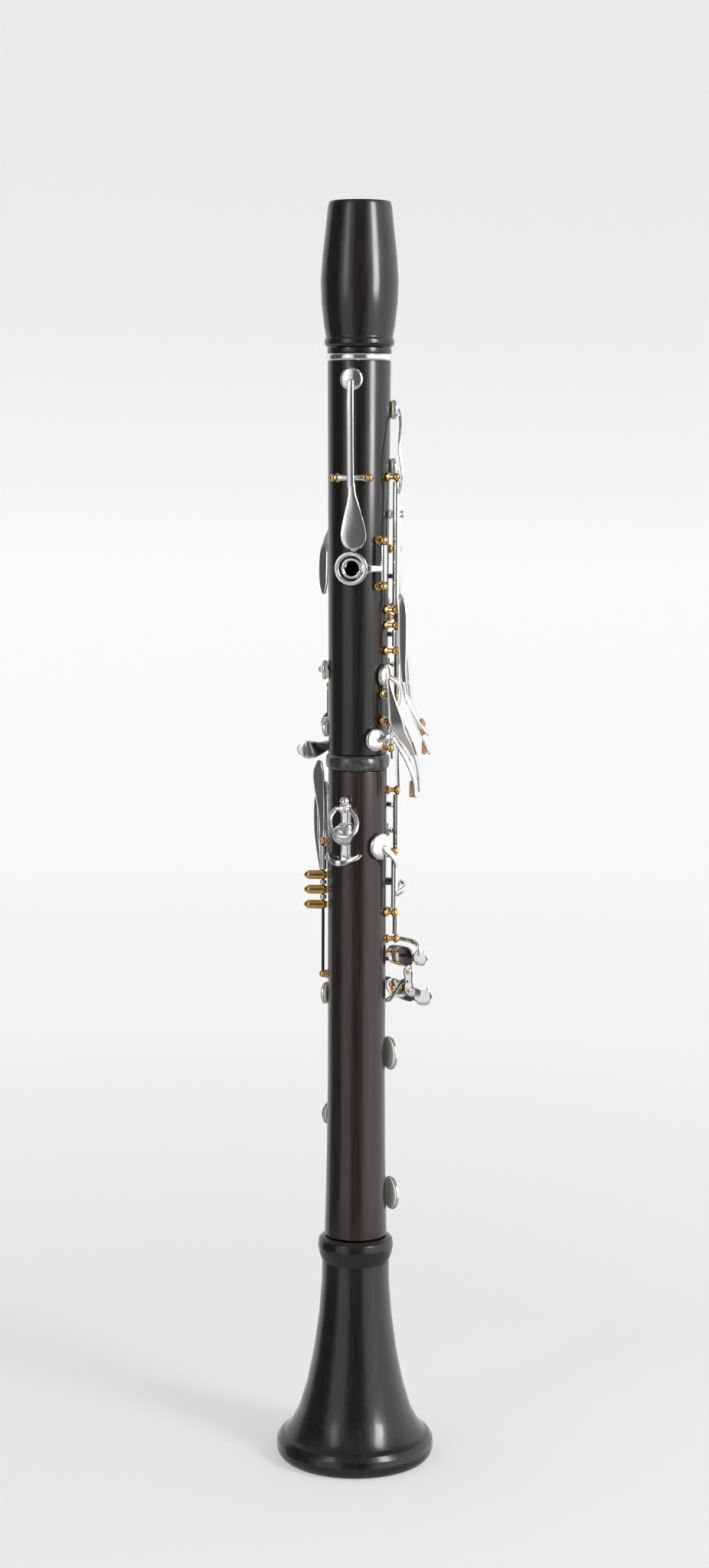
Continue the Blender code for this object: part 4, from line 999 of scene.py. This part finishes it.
SCREW = 301.5               # height of the thumb rest's clamping screw


def saddle(angle):
    """The dished plate that rests on the thumb, and the deep lip along its front."""
    reach, dip = 7.6, 3.2
    plate = []
    lip = []
    for step in range(-4, 5):
        share = step / 4.2
        across = reach * share
        depth = 4.9 * math.sqrt(1 - share ** 2) + 0.2
        height = 289.0 + dip * share ** 2
        plate.append((beside(angle, across, 15.6 + depth, height), depth, 0.55))
        lip.append((beside(angle, across, 15.3 + 2 * depth, height + 0.1), 0.5, 1.35 - 0.6 * abs(share)))
    return blade(plate, out=(0, 0, 1)), blade(lip, out=(0, 0, 1))


def build_thumb_rest():
    angle = -5
    plate = [beside(angle, 0, 14.4, z) for z in (288.5, 290.0, 313.0, 314.5)]
    base = blade([(p, w, 0.4) for p, w in zip(plate, (1.8, 2.2, 2.2, 1.8))])
    sleeve = blade([(beside(angle, 0, 16.6, z), 3.3, 2.1) for z in (298.4, 304.8)])
    slot = blade([(beside(angle, 0, 16.3, z), 2.4, 1.35) for z in (296.5, 307.0)], out=tuple(radial(angle)))
    screw_hole = rod(beside(angle, 0, 15.5, SCREW), beside(angle, 0, 20.0, SCREW), 1.5)
    part("thumb_rest_base", SILVER, [base, sleeve], [slot, screw_hole])

    bar = blade([(beside(angle, 0, 16.3, z), w, 0.95) for z, w in ((289.4, 2.0), (293.0, 2.05), (313.0, 2.05),
                                                                  (316.5, 1.6))])
    ball = turned([(0, 2.3), (1.3, 1.9), (2.3, 0), (1.3, -1.9), (0, -2.3)], beside(angle, 0, 17.3, 316.8))
    hook, lip = saddle(angle)
    lug = rod(beside(angle, -1.3, 19.3, 313.6), beside(angle, 1.3, 19.3, 313.6), 2.2, 12)
    neck = rod(beside(angle, 0, 16.6, 314.4), beside(angle, 0, 18.2, 314.0), 1.2, 8)
    eye = rod(beside(angle, -3, 19.3, 313.6), beside(angle, 3, 19.3, 313.6), 1.4, 12)
    part("thumb_rest_hook", SILVER, [bar, ball, hook, lip, lug, neck], [eye])

    part("thumb_rest_screw", SILVER, [turned([(0, 4.9 + 18.4), (2.2, 4.6 + 18.4), (4.2, 3.2 + 18.4),
                                              (4.9, 1.7 + 18.4),
         (4.4, 19.2), (1.1, 19.1), (1.1, 17.7), (0, 17.7)], Vector((0, 0, SCREW)), radial(angle))])

    wire = 1.0
    tilt = math.radians(32)
    points = []
    for i in range(24):
        turn = 2 * math.pi * i / 24
        down = 7.1 * (1 - math.cos(turn)) * (1.0 if math.cos(turn) < 0.86 else 0.35)
        across = 6.6 * math.copysign(abs(math.sin(turn)) ** 0.9, math.sin(turn)) + 0.22 * down
        points.append(beside(angle, across, 19.3 + down * math.sin(tilt), 313.6 - down * math.cos(tilt)))
    part("strap_ring", SILVER, [wire_loop(points, wire)])




# ---------------------------------------------------------------- stage, light and camera

def build_stage():
    """A seamless pale floor that sweeps up into a wall all round. Its paper glows with painted light: dimmest
    in the middle of the floor, brightest further out and at the foot of the bend, and dimmer again up the
    wall.
    """
    floor_reach, bend, wall = 2.6, 1.4, 4.5
    profile = [(0.0, -0.0003), (floor_reach, -0.0003)]
    for k in range(1, 17):
        turn = math.pi / 2 * k / 16
        profile.append((floor_reach + bend * math.sin(turn), bend * (1 - math.cos(turn))))
    profile.append((floor_reach + bend, wall))
    shape = bmesh.new()
    sides = 96
    rows = []
    for radius, height in profile:
        if radius == 0.0:
            rows.append([shape.verts.new((0, 0, height))])
        else:
            rows.append([shape.verts.new((radius * math.cos(2 * math.pi * k / sides),
                                          radius * math.sin(2 * math.pi * k / sides),
                                          height)) for k in range(sides)])
    for low, high in zip(rows, rows[1:]):
        for k in range(sides):
            corners = [low[k % len(low)], high[k], high[(k + 1) % sides], low[(k + 1) % len(low)]]
            shape.faces.new(list(dict.fromkeys(corners)))
    bmesh.ops.recalc_face_normals(shape, faces=shape.faces)
    bmesh.ops.reverse_faces(shape, faces=shape.faces)
    mesh = bpy.data.meshes.new("studio_sweep")
    shape.to_mesh(mesh)
    shape.free()
    for face in mesh.polygons:
        face.use_smooth = True
    sweep = bpy.data.objects.new("studio_sweep", mesh)
    bpy.context.scene.collection.objects.link(sweep)
    sweep.visible_glossy = False
    paper = Nodes("studio_paper")
    paper.shader.inputs["Base Color"].default_value = (0.5, 0.5, 0.505, 1)
    paper.shader.inputs["Roughness"].default_value = 0.9
    paper.shader.inputs["Specular IOR Level"].default_value = 0.1
    # painted light: the paper glows by its own emission, graded out from the middle of the floor, in place of
    # studio light falling on it
    paper.shader.inputs["Emission Color"].default_value = (1, 1, 1, 1)
    flat = paper.stretched((1, 1, 0))
    reach = paper.add("ShaderNodeVectorMath", operation="LENGTH")
    paper.link(flat, reach.inputs[0])
    share = paper.add("ShaderNodeMath", operation="DIVIDE")
    paper.link(reach.outputs["Value"], share.inputs[0])
    share.inputs[1].default_value = floor_reach + bend
    glow = paper.ramp(share.outputs[0], [(place, (level,) * 3) for place, level in PAINTED_PAPER_GLOW])
    paper.link(glow, paper.shader.inputs["Emission Strength"])
    mesh.materials.append(paper.material)


def softbox(name, angle, distance, low, high, width, radiance):
    """An upright area light that faces the instrument, with its glow as seen from there."""
    light = bpy.data.lights.new(name, "AREA")
    light.shape = "RECTANGLE"
    light.size, light.size_y = width, high - low
    light.energy = radiance * math.pi * width * (high - low)
    item = bpy.data.objects.new(name, light)
    bpy.context.scene.collection.objects.link(item)
    item.location = polar(angle, distance, (low + high) / 2)
    item.rotation_euler = (-radial(angle)).to_track_quat("-Z", "Y").to_euler()


# Painted light: how much the paper glows, in place of light falling on it, from the middle of the floor, 0,
# out to the wall, 1
PAINTED_PAPER_GLOW = [(0.06, 0.39), (0.25, 0.54), (0.5, 0.606), (0.86, 0.606), (1.0, 0.42)]
CAMERA_DISTANCE = 1.25
CAMERA_HEIGHT = 0.475
CAMERA_ANGLE = 15.0         # degrees towards the player's right
CAMERA_PITCH = 6.94
CAMERA_ROLL = 0.24
CAMERA_YAW = 0.065
LENS = 62.1

# What the polish reflects: brightness of the room at angles from the camera's side, -180 to 180
ROOM = [(-180, 0.9), (-128, 0.8), (-112, 0.1), (-68, 0.08), (-54, 0.8), (-28, 0.8), (-14, 0.12), (0, 0.1),
        (18, 0.12),
        (34, 1.1), (60, 1.3), (78, 1.1), (120, 1.1), (145, 0.9), (180, 0.9)]
ROOM_PEAK = 2.0
CEILING = 0.3
FLOOR = 0.4


def build_room():
    """A world whose brightness follows the room round the instrument, with a pale ceiling and floor."""
    world = bpy.data.worlds.new("studio")
    bpy.context.scene.world = world
    world.use_nodes = True
    tree = world.node_tree

    def add(kind, **settings):
        node = tree.nodes.new(kind)
        for key, value in settings.items():
            setattr(node, key, value)
        return node

    def math_node(operation, first, second):
        node = add("ShaderNodeMath", operation=operation)
        for socket, value in zip(node.inputs, (first, second)):
            if isinstance(value, (int, float)):
                socket.default_value = value
            else:
                tree.links.new(value, socket)
        return node.outputs[0]

    def eased(source, start, end):
        node = add("ShaderNodeMapRange", interpolation_type="SMOOTHSTEP")
        node.inputs["From Min"].default_value, node.inputs["From Max"].default_value = start, end
        tree.links.new(source, node.inputs["Value"])
        return node.outputs["Result"]

    def mixed(fac, first, second):
        node = add("ShaderNodeMix")
        tree.links.new(fac, node.inputs["Factor"])
        tree.links.new(first, node.inputs["A"])
        node.inputs["B"].default_value = second / ROOM_PEAK
        return node.outputs["Result"]

    direction = add("ShaderNodeTexCoord").outputs["Generated"]
    turned_room = add("ShaderNodeVectorRotate", rotation_type="Z_AXIS")
    turned_room.inputs["Angle"].default_value = -math.radians(CAMERA_ANGLE)
    tree.links.new(direction, turned_room.inputs["Vector"])
    split = add("ShaderNodeSeparateXYZ")
    tree.links.new(turned_room.outputs["Vector"], split.inputs["Vector"])
    turn = math_node("ARCTAN2", split.outputs["X"], math_node("MULTIPLY", split.outputs["Y"], -1.0))
    share = math_node("ADD", math_node("DIVIDE", turn, 2 * math.pi), 0.5)
    ramp = add("ShaderNodeValToRGB")
    ramp.color_ramp.interpolation = "EASE"
    while len(ramp.color_ramp.elements) < len(ROOM):
        ramp.color_ramp.elements.new(0.5)
    for element, (angle, level) in zip(ramp.color_ramp.elements, ROOM):
        element.position = angle / 360 + 0.5
        element.color = (level / ROOM_PEAK,) * 3 + (1.0,)
    tree.links.new(share, ramp.inputs["Fac"])
    with_ceiling = mixed(eased(split.outputs["Z"], 0.4, 0.8), ramp.outputs["Color"], CEILING)
    whole = mixed(eased(split.outputs["Z"], -0.25, -0.55), with_ceiling, FLOOR)
    tree.links.new(whole, tree.nodes["Background"].inputs["Color"])
    tree.nodes["Background"].inputs["Strength"].default_value = ROOM_PEAK


def build_light():
    softbox("key_right", CAMERA_ANGLE + 50, 1.4, 0.5, 1.5, 0.4, 13)
    softbox("strip_left", CAMERA_ANGLE - 42, 1.3, 0.5, 1.4, 0.3, 2.2)
    build_room()


def build_camera():
    camera = bpy.data.cameras.new("camera")
    camera.lens = LENS
    camera.sensor_width = 36.0
    camera.clip_start = 0.05
    item = bpy.data.objects.new("camera", camera)
    bpy.context.scene.collection.objects.link(item)
    item.location = polar(CAMERA_ANGLE, CAMERA_DISTANCE, CAMERA_HEIGHT)
    aim = (Matrix.Rotation(math.radians(CAMERA_ANGLE + CAMERA_YAW), 4, "Z")
           @ Matrix.Rotation(math.radians(90 - CAMERA_PITCH), 4, "X")
           @ Matrix.Rotation(math.radians(CAMERA_ROLL), 4, "Z"))
    item.rotation_euler = aim.to_euler()
    bpy.context.scene.camera = item
    bpy.context.scene.view_settings.view_transform = "Standard"


build_barrel()
build_upper_joint()
build_lower_joint()
build_bell()
build_register_key()
build_thumb_ring()
build_upper_rings()
build_throat_keys()
build_side_keys()
build_left_upper_keys()
build_left_levers()
build_lower_rings()
build_b_sliver()
build_little_finger_keys()
build_thumb_rest()
build_stage()
build_light()
build_camera()
